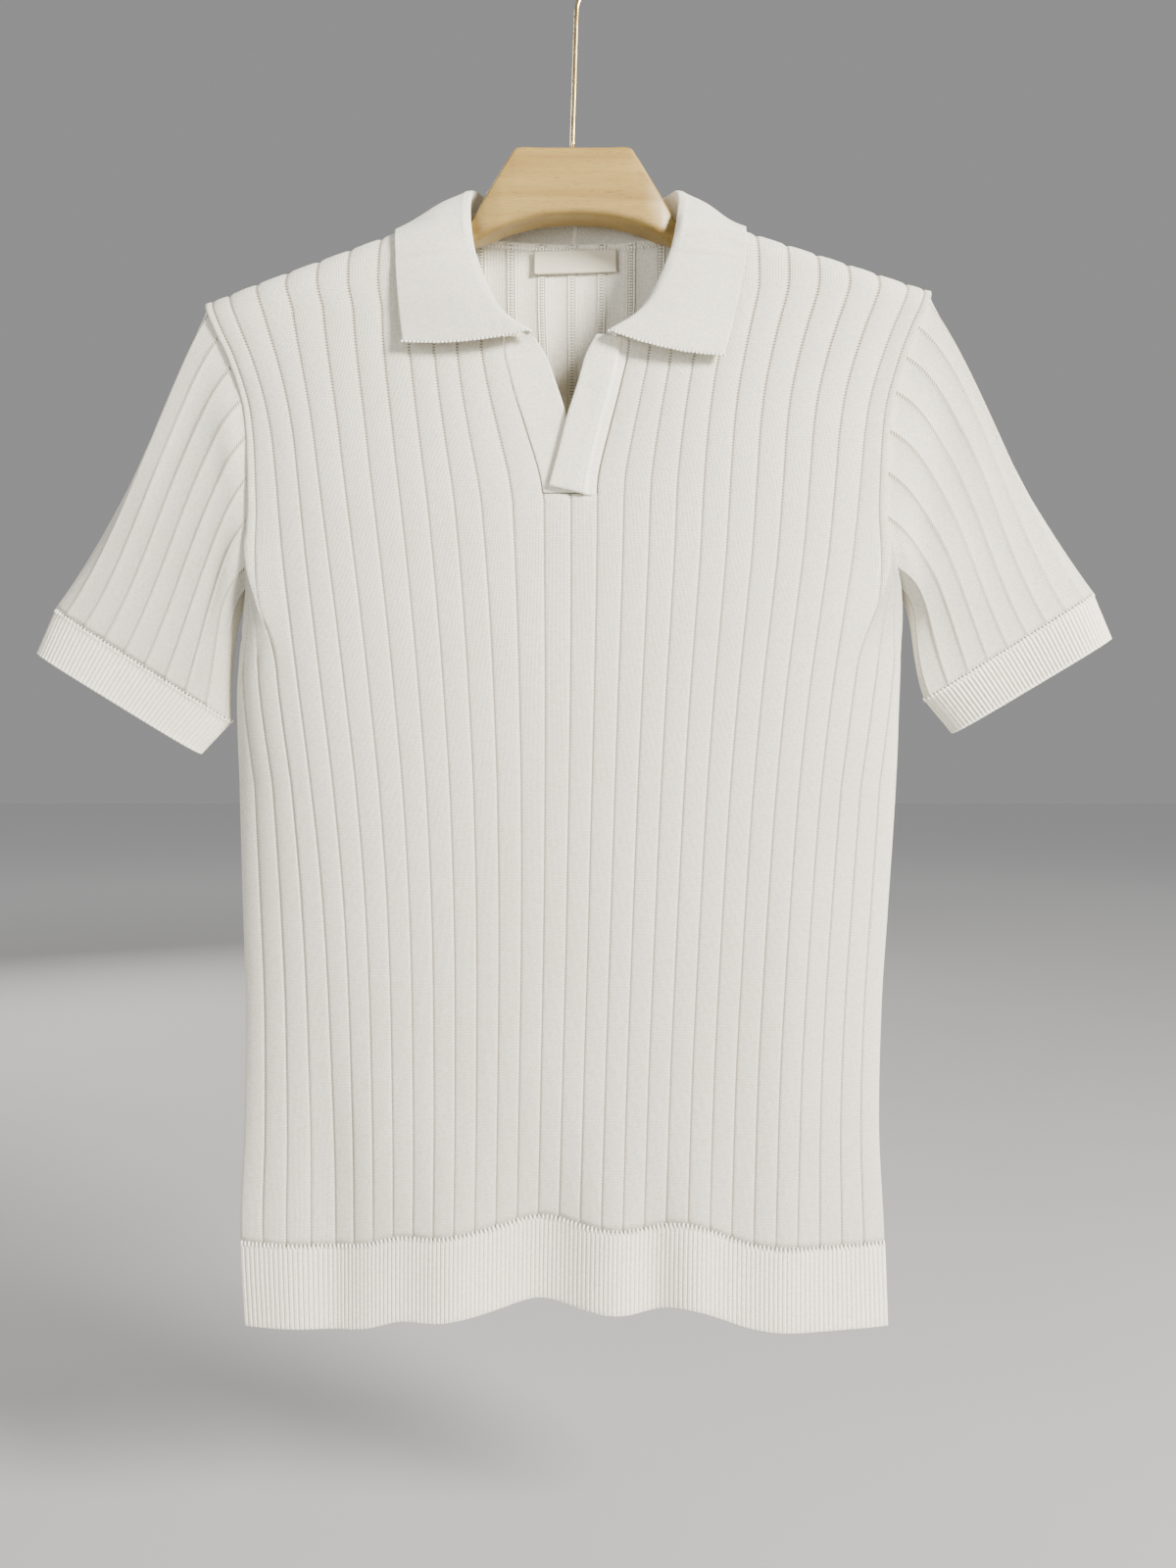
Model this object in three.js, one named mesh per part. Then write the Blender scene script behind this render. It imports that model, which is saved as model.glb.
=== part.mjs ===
// A knitted polo shirt on a wooden hanger, in millimetres, +Z up, front towards -Y.
// The origin is the inner top of the hook. Each cloth piece is a closed wall with the wide ribs
// raised on its outer face and a plain inner face.
import * as THREE from 'three'

// Driving sizes of the cloth
const wall = 1.2
const ribRaise = 0.8
const seamGap = 0.3
const edgeShift = 0.8
const ribsPerPanel = 30
const sideRib = ribsPerPanel / 2
const armholeRib = 11.7
const lineRib = 11
const neckRib = 4
const slitRib = 1
const sleeveRibs = 19
const slitBottom = -352
const armholeBottom = -372
const pitDrop = 35
const hemSeam = -799
const hemRise = 15
const bandHeight = 46
const shoulderRound = 16
const neckHeight = -179.5

// Half widths left and right of the body by height: armhole edge above the pit, side seam below
const armholeRows = [
  { z: -172, left: 219, right: 213 },
  { z: -224, left: 219, right: 213.6 },
  { z: -233, left: 218.9, right: 211.5 },
  { z: -251, left: 211.5, right: 203 },
  { z: -271, left: 201.8, right: 195.3 },
  { z: -302, left: 192.4, right: 187 },
  { z: -354, left: 190, right: 184.2 },
  { z: -372, left: 191, right: 185.6 },
  { z: -440, left: 199, right: 196.2 },
]
// Half widths in mm at the eleventh rib of each side, from the photo
const ribLineRows = [
  { z: -172, left: 206, right: 200 },
  { z: -224, left: 205.5, right: 199 },
  { z: -234, left: 202.5, right: 196 },
  { z: -250, left: 196, right: 189 },
  { z: -271, left: 187.5, right: 181 },
  { z: -293, left: 180.6, right: 174.5 },
  { z: -315, left: 176, right: 170.8 },
  { z: -338, left: 173.3, right: 168.6 },
  { z: -384, left: 169.2, right: 163.8 },
  { z: -417, left: 165.4, right: 158.8 },
  { z: -463, left: 159.6, right: 152 },
  { z: -520, left: 152.2, right: 146 },
  { z: -577, left: 146, right: 142 },
  { z: -634, left: 142, right: 139 },
  { z: -692, left: 139.6, right: 137 },
  { z: -749, left: 138, right: 136.6 },
  { z: -850, left: 137.2, right: 136.8 },
]
const sideRows = [
  { z: -360, left: 192, right: 193 },
  { z: -407, left: 194.5, right: 195.6 },
  { z: -462, left: 201, right: 195.3 },
  { z: -520, left: 200.6, right: 194 },
  { z: -593, left: 198.8, right: 189.4 },
  { z: -652, left: 197.1, right: 185.6 },
  { z: -726, left: 198, right: 184.1 },
  { z: -785, left: 200.4, right: 187 },
  { z: -850, left: 197.3, right: 189.4 },
]
// Depth of the front and back walls from the seam plane, and the line of the middle rib
const depthRows = [
  { z: -172, front: 15, back: 19, middle: -1 },
  { z: -206, front: 16, back: 20, middle: -1 },
  { z: -232, front: 20, back: 20, middle: -1 },
  { z: -262, front: 24, back: 21, middle: -1 },
  { z: -300, front: 27, back: 22, middle: -1 },
  { z: -350, front: 29, back: 24, middle: -1.2 },
  { z: -460, front: 29, back: 23, middle: -1.6 },
  { z: -600, front: 24, back: 19, middle: -4 },
  { z: -700, front: 19, back: 15, middle: -6.5 },
  { z: -800, front: 13, back: 11, middle: -9 },
  { z: -850, front: 12, back: 11, middle: -9.5 },
]
// How far the open placket pushes its first ribs aside
const openingRows = [
  { z: -172, left: -8, right: -8 },
  { z: -215, left: 14, right: 12 },
  { z: -262, left: 22, right: 17 },
  { z: -287, left: 18, right: 13 },
  { z: -313, left: 10.5, right: 7 },
  { z: -340, left: 2.6, right: 1 },
  { z: -356, left: 0, right: 0 },
]
// Neckline heights by rib, from the middle to the shoulder seam
const neckRows = [
  { rib: 0, front: -256, back: -187 },
  { rib: 1, front: -250, back: -186.8 },
  { rib: 2, front: -232, back: -186 },
  { rib: 3, front: -206, back: -184 },
  { rib: 4, front: -180, back: -180 },
]
// Soft vertical folds, depth outward, each fading in from top to bottom
const foldRows = [
  { side: 'front', rib: -11, width: 1.3, depth: -3.5, top: -640, bottom: -760 },
  { side: 'front', rib: -5.2, width: 1.6, depth: 3.5, top: -690, bottom: -820 },
  { side: 'front', rib: -0.8, width: 2.0, depth: -6.5, top: -690, bottom: -810 },
  { side: 'front', rib: 2.4, width: 1.3, depth: 3, top: -700, bottom: -820 },
  { side: 'front', rib: 4.5, width: 0.9, depth: -3, top: -720, bottom: -820 },
  { side: 'front', rib: 6.4, width: 1.0, depth: 2.5, top: -720, bottom: -820 },
  { side: 'front', rib: 10.5, width: 1.6, depth: 2.5, top: -480, bottom: -640 },
  { side: 'back', rib: -8, width: 1.6, depth: -3, top: -620, bottom: -790 },
  { side: 'back', rib: -1.5, width: 2.2, depth: 3.5, top: -660, bottom: -810 },
  { side: 'back', rib: 3.5, width: 1.5, depth: -4, top: -600, bottom: -790 },
  { side: 'back', rib: 9.5, width: 1.4, depth: 2.5, top: -640, bottom: -800 },
]

// Sleeve ends: o is the outer fold and i the inner fold of the cuff seam and of the cuff edge
const sleeveEnds = {
  left: { o: [-312, -414], i: [-204.9, -482], oEnd: [-323.3, -440.4], iEnd: [-223.6, -501.8] },
  right: { o: [313.3, -404.5], i: [210.6, -468.8], oEnd: [324.5, -431.6], iEnd: [227.7, -489.4] },
}
const cuffDepth = 9
const cuffSteps = 24
// Rib lines of a sleeve from the armhole to the cuff, by share from shoulder to underarm:
// start slope in degrees below level, start pull, end direction outward and down, end pull, swell
const sleeveRows = [
  { share: 0, slope: 72, start: 45, outward: 0.6, down: 0.8, end: 60, swell: 0 },
  { share: 0.15, slope: 45, start: 44, outward: 0.6, down: 0.8, end: 60, swell: 4 },
  { share: 0.4, slope: 26, start: 40, outward: 0.52, down: 0.85, end: 60, swell: 5 },
  { share: 0.7, slope: 34, start: 32, outward: 0.35, down: 0.94, end: 50, swell: 3 },
  { share: 0.85, slope: 30, start: 24, outward: 0.2, down: 1, end: 40, swell: 0 },
  { share: 1, slope: 50, start: 16, outward: 0, down: 0.92, end: 24, swell: 0 },
]

const lerp = (a, b, t) => a + (b - a) * t
const clamp = (v, low, high) => Math.min(high, Math.max(low, v))
const smooth = (t) => t * t * (3 - 2 * t)

// Reads one named column of a table at a place along its key, with smooth slopes between rows
function read(rows, key, at, name) {
  const rising = rows[1][key] > rows[0][key] ? 1 : -1
  let i = 0
  while (i < rows.length - 2 && (rows[i + 1][key] - at) * rising < 0) i += 1
  const span = rows[i + 1][key] - rows[i][key]
  const t = clamp((at - rows[i][key]) / span, 0, 1)
  const slopeAt = (j) => {
    const a = rows[Math.max(0, j - 1)]
    const b = rows[Math.min(rows.length - 1, j + 1)]
    return (b[name] - a[name]) / (b[key] - a[key])
  }
  const from = rows[i][name]
  const to = rows[i + 1][name]
  const bend = t * (1 - t) * ((1 - t) * (slopeAt(i) * span - (to - from)) - t * (slopeAt(i + 1) * span - (to - from)))
  return lerp(from, to, t) + bend
}

// Flat oval: how far along its half width and depth a share of its quarter girth lies
const across = (e) => e * (1 + 0.08 * (1 - e ** 10))
const bulge = (e) => Math.sqrt(Math.max(0, 1 - across(e) ** 4))

const nameOf = (k) => (k < 0 ? 'left' : 'right')
const signOf = (k) => (k < 0 ? -1 : 1)

function shoulderHeight(k) {
  const fall = k < 0 ? 52.8 : 45
  return neckHeight - Math.max(0, (Math.abs(k) - neckRib) / (armholeRib - neckRib)) * fall
}

function topHeight(side, k) {
  if (Math.abs(k) >= neckRib) return shoulderHeight(k)
  return read(neckRows, 'rib', Math.abs(k), side)
}

function armholeHeight(k) {
  return armholeBottom - pitDrop * Math.sqrt(clamp((Math.abs(k) - armholeRib) / (sideRib - armholeRib), 0, 1))
}

function hemHeight(side, k) {
  const rise = side === 'front' ? hemRise : hemRise * 0.6
  return hemSeam + rise * Math.exp(-(((k + 0.8) / 5.5) ** 2))
}

function halfWidth(k, z) {
  const name = nameOf(k)
  const far = Math.abs(k)
  const line = read(ribLineRows, 'z', z, name)
  if (far <= lineRib) return (line * across(far / sideRib)) / across(lineRib / sideRib)
  const settle = smooth(clamp((armholeBottom - z) / 80, 0, 1))
  const even = read(sideRows, 'z', z, name)
  const edge = lerp(line, read(armholeRows, 'z', z, name), Math.min(1, (far - lineRib) / (armholeRib - lineRib)))
  const past = Math.max(0, far - armholeRib) / (sideRib - armholeRib)
  const cut = lerp(edge, even, 1 - (1 - past) ** 2)
  const q = (far - lineRib) / (sideRib - lineRib)
  const crowd = 0.36 * clamp((z + 520) / 103, 0, 1)
  const lower = lerp(line, even, q * (1 + crowd * (1 - q ** 4)))
  return lerp(cut, lower, settle)
}

// A point of the bare outer face of the front or back
function bodyPoint(side, k, z) {
  const out = side === 'front' ? -1 : 1
  const middle = read(depthRows, 'z', z, 'middle')
  const shift = side === 'front' ? read(openingRows, 'z', z, nameOf(k)) : 0
  const pushed = shift * clamp((8 - Math.abs(k)) / 7, 0, 1) ** 2 * clamp(Math.abs(k), 0, 1)
  const x = signOf(k) * (halfWidth(k, z) + pushed) + middle * (1 - (k / sideRib) ** 2)
  const drop = clamp((shoulderHeight(k) - z) / shoulderRound, 0, 1)
  const over = Math.sqrt(1 - (1 - drop) ** 2)
  let depth = read(depthRows, 'z', z, side) * bulge(Math.abs(k) / sideRib) * over
  for (const fold of foldRows) {
    if (fold.side !== side) continue
    const grown = smooth(clamp((fold.top - z) / (fold.top - fold.bottom), 0, 1))
    depth += fold.depth * grown * Math.exp(-(((k - fold.rib) / fold.width) ** 2))
  }
  return new THREE.Vector3(x, out * (depth + seamGap / 2), z)
}

function bodyNormal(side, k, z) {
  const out = side === 'front' ? -1 : 1
  const kStep = k > 0 ? -0.02 : 0.02
  const here = bodyPoint(side, k, z)
  const alongRib = bodyPoint(side, k, z - 0.06).sub(here)
  const acrossRibs = bodyPoint(side, k + kStep, z).sub(here).multiplyScalar(Math.sign(kStep))
  const normal = acrossRibs.cross(alongRib).normalize()
  if (normal.y * out < 0) normal.negate()
  const atSide = sideRib - Math.abs(k) < 0.01
  const atShoulder = shoulderHeight(k) - z < 0.01
  if (atSide) normal.set(signOf(k), 0, 0)
  if (atShoulder) normal.set(normal.x, 0, Math.abs(normal.z)).normalize()
  return normal
}

// A closed wall over a grid of columns and rows. Each column gives its outer points, and a column
// marked inner gives inner points too, so that the plain inner face needs fewer of them.
function wallGeometry({ columns, rowCount, outer, inner, present, wrap }) {
  const positions = []
  const triangles = []
  const cache = new Map()
  const count = columns.length
  const vertex = (kind, i, j) => {
    const column = wrap ? i % count : i
    const key = `${kind},${column},${j}`
    if (!cache.has(key)) {
      const p = kind === 'outer' ? outer(columns[column], j) : inner(columns[column], j)
      cache.set(key, positions.length / 3)
      positions.push(p.x, p.y, p.z)
    }
    return cache.get(key)
  }
  const cells = wrap ? count : count - 1
  const has = (i, j) => {
    if (j < 0 || j >= rowCount - 1) return false
    if (!wrap && (i < 0 || i >= cells)) return false
    return present ? present(columns[i % count], columns[(i + 1) % count], j) : true
  }
  const quad = (a, b, c, d) => triangles.push(a, b, c, a, c, d)
  const marks = []
  for (let i = 0; i <= cells; i += 1) {
    if (columns[i % count].inner) marks.push(i)
  }
  for (let m = 0; m < marks.length - 1; m += 1) {
    const from = marks[m]
    const to = marks[m + 1]
    for (let j = 0; j < rowCount - 1; j += 1) {
      if (!has(from, j)) continue
      for (let i = from; i < to; i += 1) {
        quad(vertex('outer', i, j), vertex('outer', i + 1, j), vertex('outer', i + 1, j + 1), vertex('outer', i, j + 1))
      }
      quad(vertex('inner', from, j), vertex('inner', from, j + 1), vertex('inner', to, j + 1), vertex('inner', to, j))
      const zip = (row, forward) => {
        const q0 = vertex('inner', from, row)
        const q1 = vertex('inner', to, row)
        const half = from + Math.floor((to - from) / 2)
        const face = (a, b, c) => (forward ? triangles.push(a, b, c) : triangles.push(b, a, c))
        for (let i = from; i < to; i += 1) {
          face(vertex('outer', i + 1, row), vertex('outer', i, row), i < half ? q0 : q1)
        }
        face(vertex('outer', half, row), q0, q1)
      }
      if (!has(from, j - 1)) zip(j, true)
      if (!has(from, j + 1)) zip(j + 1, false)
      if (!wrap || present) {
        const side = (i, forward) => {
          const a = vertex('outer', i, j)
          const b = vertex('outer', i, j + 1)
          const c = vertex('inner', i, j + 1)
          const d = vertex('inner', i, j)
          if (forward) quad(a, b, c, d)
          else quad(b, a, d, c)
        }
        if (!has(from - 1, j)) side(from, true)
        if (!has(to, j)) side(to, false)
      }
    }
  }
  return closed(positions, triangles)
}

// Turns the faces outward by the sign of the volume
function closed(positions, triangles) {
  let volume = 0
  const at = (v) => new THREE.Vector3(positions[3 * v], positions[3 * v + 1], positions[3 * v + 2])
  for (let t = 0; t < triangles.length; t += 3) {
    volume += at(triangles[t]).dot(at(triangles[t + 1]).cross(at(triangles[t + 2])))
  }
  if (volume < 0) {
    for (let t = 0; t < triangles.length; t += 3) {
      const held = triangles[t]
      triangles[t] = triangles[t + 1]
      triangles[t + 1] = held
    }
  }
  const geometry = new THREE.BufferGeometry()
  geometry.setAttribute('position', new THREE.Float32BufferAttribute(positions, 3))
  geometry.setIndex(triangles)
  geometry.computeVertexNormals()
  return geometry
}

// Columns of a ribbed panel: a groove at each rib line and two crown points between
function ribColumns(from, to, breaks) {
  const columns = []
  for (let k = from; k <= to; k += 1) {
    columns.push({ k, raise: 0, inner: true })
    if (k === to) break
    for (const share of [0.22, 0.78]) {
      const place = k + share
      const cut = breaks.find((b) => Math.abs(b - place) < 0.1)
      if (cut === undefined) columns.push({ k: place, raise: ribRaise, inner: false })
      else columns.push({ k: cut, raise: ribRaise / 2, inner: true })
    }
  }
  return columns
}

const topDrops = [0, 1.2, 4, 9, 16]
const yokeRows = 5
const pitRows = 1
const lowerRows = 6
const slitRow = topDrops.length - 1 + yokeRows
const armholeRow = slitRow + pitRows
const lastRow = armholeRow + lowerRows

function rowHeight(side, k, row) {
  const top = topHeight(side, k)
  if (row < topDrops.length) return top - topDrops[row]
  const yokeTop = top - topDrops[topDrops.length - 1]
  if (row <= slitRow) return lerp(yokeTop, slitBottom, (row - topDrops.length + 1) / yokeRows)
  const armhole = armholeHeight(k)
  if (row <= armholeRow) return lerp(slitBottom, armhole, (row - slitRow) / pitRows)
  return lerp(armhole, hemHeight(side, k), (row - armholeRow) / lowerRows)
}

function bodyPanel(side) {
  const on = (column, row, offset) => {
    const z = rowHeight(side, column.k, row)
    return bodyPoint(side, column.k, z).addScaledVector(bodyNormal(side, column.k, z), offset)
  }
  return wallGeometry({
    columns: ribColumns(-sideRib, sideRib, [-armholeRib, armholeRib]),
    rowCount: lastRow + 1,
    outer: (column, row) => on(column, row, column.raise),
    inner: (column, row) => on(column, row, -wall),
    present: (a, b, row) => {
      const middle = Math.abs(a.k + b.k) / 2
      if (row >= armholeRow) return true
      if (middle > armholeRib) return false
      return side === 'back' || row >= slitRow || middle > slitRib
    },
  })
}

// The 1x1 rib band below the hem seam
function hemBand(side) {
  const rows = 3
  const columns = []
  for (let k = -sideRib; k <= sideRib; k += 1) columns.push({ k, inner: true })
  const on = (column, row, offset) => {
    const top = hemHeight(side, column.k) - seamGap * 1.2
    const z = top - (bandHeight * row) / rows
    return bodyPoint(side, column.k, z).addScaledVector(bodyNormal(side, column.k, z), offset)
  }
  return wallGeometry({
    columns,
    rowCount: rows + 1,
    outer: (column, row) => on(column, row, ribRaise * 0.6),
    inner: (column, row) => on(column, row, -wall),
  })
}

// The armhole edge by share from the shoulder to the underarm, moved just clear of the body
function armholePoint(side, hand, share) {
  const s = hand === 'left' ? -1 : 1
  const out = side === 'front' ? -1 : 1
  const turn = 0.77
  const corner = 0.7 * Math.exp(-(((share - turn) / 0.08) ** 2))
  if (share <= turn) {
    const top = shoulderHeight(s * armholeRib)
    const z = lerp(top, armholeBottom, (share / turn) ** 1.35)
    const p = bodyPoint(side, s * armholeRib, z)
    p.x += s * (edgeShift + corner)
    p.y -= share < 0.001 ? out * (seamGap / 2) : 0
    return p
  }
  const q = (share - turn) / (1 - turn)
  const k = s * lerp(armholeRib, sideRib, q)
  const p = bodyPoint(side, k, armholeHeight(k))
  p.x += s * (ribRaise + 0.7 + corner)
  p.z += edgeShift + 0.2 + corner
  p.y = share > 0.999 ? 0 : p.y
  return p
}

function endPoint(side, hand, share, alongCuff) {
  const ends = sleeveEnds[hand]
  const out = side === 'front' ? -1 : 1
  const e = 1 - 2 * share
  const half = (1 - Math.sign(e) * across(Math.abs(e))) / 2
  const x0 = lerp(ends.o[0], ends.i[0], half)
  const z0 = lerp(ends.o[1], ends.i[1], half)
  const x1 = lerp(ends.oEnd[0], ends.iEnd[0], half)
  const z1 = lerp(ends.oEnd[1], ends.iEnd[1], half)
  const y = out * cuffDepth * bulge(Math.abs(e))
  return new THREE.Vector3(lerp(x0, x1, alongCuff), y, lerp(z0, z1, alongCuff))
}

// A point of a sleeve: turn goes round from the shoulder over the front, t from armhole to cuff
function sleevePoint(hand, turn, t) {
  const side = turn <= 0.5 ? 'front' : 'back'
  const out = side === 'front' ? -1 : 1
  const s = hand === 'left' ? -1 : 1
  const share = clamp(turn <= 0.5 ? turn * 2 : (1 - turn) * 2, 0, 1)
  const get = (name) => read(sleeveRows, 'share', share, name)
  const start = armholePoint(side, hand, share)
  const end = endPoint(side, hand, share, 0)
  const steeper = hand === 'left' ? 22 * Math.sin(Math.PI * share) : 0
  const slope = THREE.MathUtils.degToRad(get('slope') + steeper)
  const pull = get('start')
  const a = start.clone().add(new THREE.Vector3(s * Math.cos(slope) * pull, out * get('swell'), -Math.sin(slope) * pull))
  const fall = get('end')
  const inward = hand === 'right' ? 0.38 * smooth(clamp((share - 0.7) / 0.3, 0, 1)) : 0
  const outward = get('outward') + inward
  const b = end.clone().add(new THREE.Vector3(-s * outward * fall, out * get('swell'), get('down') * fall))
  return new THREE.CubicBezierCurve3(start, a, b, end).getPoint(t)
}

function tubeNormal(point, turn, t) {
  const step = 0.004
  const here = (d, e) => point((turn + d + 1) % 1, clamp(t + e, 0, 1))
  const round = here(step, 0).sub(here(-step, 0))
  const along = here(0, 0.02).sub(here(0, -0.02))
  return round.cross(along).normalize()
}

function sleeve(hand) {
  const rows = 7
  const s = hand === 'left' ? 1 : -1
  const columns = []
  for (let rib = 0; rib < sleeveRibs; rib += 1) {
    columns.push({ turn: rib / sleeveRibs, raise: 0, inner: true })
    columns.push({ turn: (rib + 0.22) / sleeveRibs, raise: ribRaise, inner: false })
    columns.push({ turn: (rib + 0.78) / sleeveRibs, raise: ribRaise, inner: false })
  }
  const point = (turn, t) => sleevePoint(hand, turn, t)
  const on = (column, row, offset) => {
    const t = row / rows
    const normal = tubeNormal(point, column.turn, t).multiplyScalar(s)
    return point(column.turn, t).addScaledVector(normal, offset)
  }
  const lift = (column, row) => (row === 0 ? 0 : column.raise)
  return wallGeometry({
    columns,
    rowCount: rows + 1,
    outer: (column, row) => on(column, row, lift(column, row)),
    inner: (column, row) => on(column, row, -wall),
    wrap: true,
  })
}

function cuff(hand) {
  const rows = 3
  const s = hand === 'left' ? 1 : -1
  const columns = []
  for (let i = 0; i < cuffSteps; i += 1) columns.push({ turn: i / cuffSteps, inner: true })
  const point = (turn, t) => {
    const side = turn <= 0.5 ? 'front' : 'back'
    return endPoint(side, hand, turn <= 0.5 ? turn * 2 : (1 - turn) * 2, lerp(0.025, 1, t))
  }
  const on = (column, row, offset) => {
    const normal = tubeNormal(point, column.turn, row / rows).multiplyScalar(s)
    return point(column.turn, row / rows).addScaledVector(normal, offset)
  }
  return wallGeometry({
    columns,
    rowCount: rows + 1,
    outer: (column, row) => on(column, row, ribRaise * 0.6),
    inner: (column, row) => on(column, row, -wall),
    wrap: true,
  })
}

// Collar sections from the left front end round to the middle of the back, mirrored for the other
// half: ribs past the shoulder seam along the neckline, the roll and the outer edge of the leaf
const collarRows = [
  { at: 0, neck: -3, rx: -23.8, ry: -31.8, rz: -258.5, ex: -98.3, ey: -30, ez: -264.3, swell: 1 },
  { at: 1, neck: -3, rx: -38.6, ry: -29.5, rz: -248, ex: -100, ey: -27, ez: -251, swell: 1.5 },
  { at: 2, neck: -2, rx: -48.2, ry: -24.5, rz: -233, ex: -101.5, ey: -24, ez: -233, swell: 2 },
  { at: 3, neck: -1, rx: -57.7, ry: -19, rz: -208, ex: -103, ey: -19, ez: -212, swell: 3 },
  { at: 4, neck: -0.3, rx: -61.4, ry: -12.5, rz: -183, ex: -104, ey: -12, ez: -196, swell: 4 },
  { at: 5, neck: 0.3, rx: -61, ry: 4, rz: -162, ex: -104, ey: 3, ez: -190, swell: 5 },
  { at: 6, neck: 1.2, rx: -51, ry: 18, rz: -160.2, ex: -95, ey: 20, ez: -199, swell: 4 },
  { at: 7, neck: 2.6, rx: -30, ry: 23, rz: -161, ex: -60, ey: 27, ez: -223, swell: 3 },
  { at: 8, neck: 4, rx: 0, ry: 24, rz: -162, ex: 0, ey: 28, ez: -233, swell: 2 },
]
const collarWall = 1.6
const leafClear = ribRaise + collarWall / 2 + 1.8
const collarFront = { x: -25, y: -30.2, z: -261 }

// Moves a point that would touch the body cloth out to a clearance from it
function offBody(p, clearance) {
  const side = p.y < 0 ? 'front' : 'back'
  const k = (p.x * lineRib) / read(ribLineRows, 'z', p.z, nameOf(p.x))
  const depth = read(depthRows, 'z', p.z, side) * bulge(Math.min(1, Math.abs(k) / sideRib)) + seamGap
  const centre = shoulderHeight(k) - shoulderRound
  const up = Math.max(0, p.z - centre)
  const radius = Math.hypot(p.y / depth, up / shoulderRound)
  const least = 1 + clearance / Math.min(depth, shoulderRound)
  if (radius >= least) return p
  const scale = least / Math.max(radius, 0.01)
  return new THREE.Vector3(p.x, p.y * scale, up > 0 ? centre + up * scale : p.z)
}

// The neckline of the body just past the cut edge, in the middle of the cloth
function neckPoint(hand, neck) {
  const side = neck < 0 ? 'front' : 'back'
  const at = (n) => {
    const k = hand * Math.max(0.001, neckRib - Math.abs(n))
    return bodyPoint(side, k, topHeight(side, k))
  }
  const k = hand * Math.max(0.001, neckRib - Math.abs(neck))
  const here = at(neck)
  const along = at(Math.max(-3, neck - 0.1)).sub(at(neck + 0.1))
  const normal = bodyNormal(side, k, topHeight(side, k) - 0.4)
  const away = along.cross(normal).normalize()
  if (away.z < 0) away.negate()
  return here.addScaledVector(normal, (ribRaise - wall) / 2).addScaledVector(away, 1.75)
}

function collarSection(at) {
  const mirror = at > 8
  const place = mirror ? 16 - at : at
  const get = (name) => read(collarRows, 'at', place, name)
  const s = mirror ? -1 : 1
  const point = (letter) => new THREE.Vector3(s * get(`${letter}x`), get(`${letter}y`), get(`${letter}z`))
  const front = new THREE.Vector3(s * collarFront.x, collarFront.y, collarFront.z)
  const seam = neckPoint(-s, get('neck'))
  seam.lerp(front, 1 - smooth(clamp(place, 0, 1)))
  const roll = point('r')
  const edge = point('e')
  const nearEnd = clamp(1 - place / 3, 0, 1)
  if (mirror) {
    roll.x += 1.5 - 5 * clamp(1 - place / 4.5, 0, 1)
    edge.x -= 3 + 8 * nearEnd
    edge.z -= 8 * nearEnd
  }
  const outward = new THREE.Vector3(edge.x - roll.x, edge.y - roll.y, 0).normalize()
  if (place > 3) outward.lerp(new THREE.Vector3(roll.x, roll.y * 2.4, 0).normalize(), 0.7).normalize()
  const away = outward.lerp(new THREE.Vector3(0, -1, 0), smooth(clamp(1 - place / 4.5, 0, 1)))
  away.z += 0.8 * clamp(1 - Math.abs(place - 5) / 2, 0, 1)
  return { seam, roll, edge, away: away.normalize(), swell: get('swell') }
}

function collar() {
  const steps = 26
  const columns = []
  for (let i = 0; i <= steps; i += 1) columns.push({ at: (16 * i) / steps, inner: true })
  const point = (at, row) => {
    const { seam, roll, edge, away, swell } = collarSection(at)
    const leaf = (t, lift) => offBody(roll.clone().lerp(edge, t).addScaledVector(away, lift), leafClear)
    if (row === 0) return seam
    if (row === 1) return seam.clone().lerp(roll, 0.5).addScaledVector(away, -0.6)
    if (row === 2) return roll.clone().addScaledVector(away, -0.2).add(new THREE.Vector3(0, 0, -0.6))
    if (row === 3) return leaf(0.035, 1.9).add(new THREE.Vector3(0, 0, 0.5))
    if (row === 4) return leaf(0.1, 2.9)
    if (row === 5) return leaf(0.35, 2.9 + swell * 0.4)
    if (row === 6) return leaf(0.68, 2.2 + swell * 0.35)
    return leaf(1, 1.2)
  }
  const lastCollarRow = 7
  const normal = (at, row) => {
    const a = point(clamp(at + 0.05, 0, 16), row).sub(point(clamp(at - 0.05, 0, 16), row))
    const b = point(at, Math.min(lastCollarRow, row + 1)).sub(point(at, Math.max(0, row - 1)))
    return a.cross(b).normalize()
  }
  return wallGeometry({
    columns,
    rowCount: lastCollarRow + 1,
    outer: (column, row) => point(column.at, row).addScaledVector(normal(column.at, row), collarWall / 2),
    inner: (column, row) => point(column.at, row).addScaledVector(normal(column.at, row), -collarWall / 2),
  })
}

// Placket bands: edges by height, with what lies on top moved out from the panel
const placketRows = [
  { z: -257, free: 14.5, under: -24 },
  { z: -270, free: 7.7, under: -15.6 },
  { z: -287, free: 2.9, under: -9.5 },
  { z: -306, free: -3.1, under: -3.6 },
  { z: -327, free: -8.4, under: 0.5 },
  { z: -351, free: -14.9, under: 4.5 },
]
const placketTop = -259
const placketDepth = (z) => read(depthRows, 'z', z, 'front')

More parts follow.
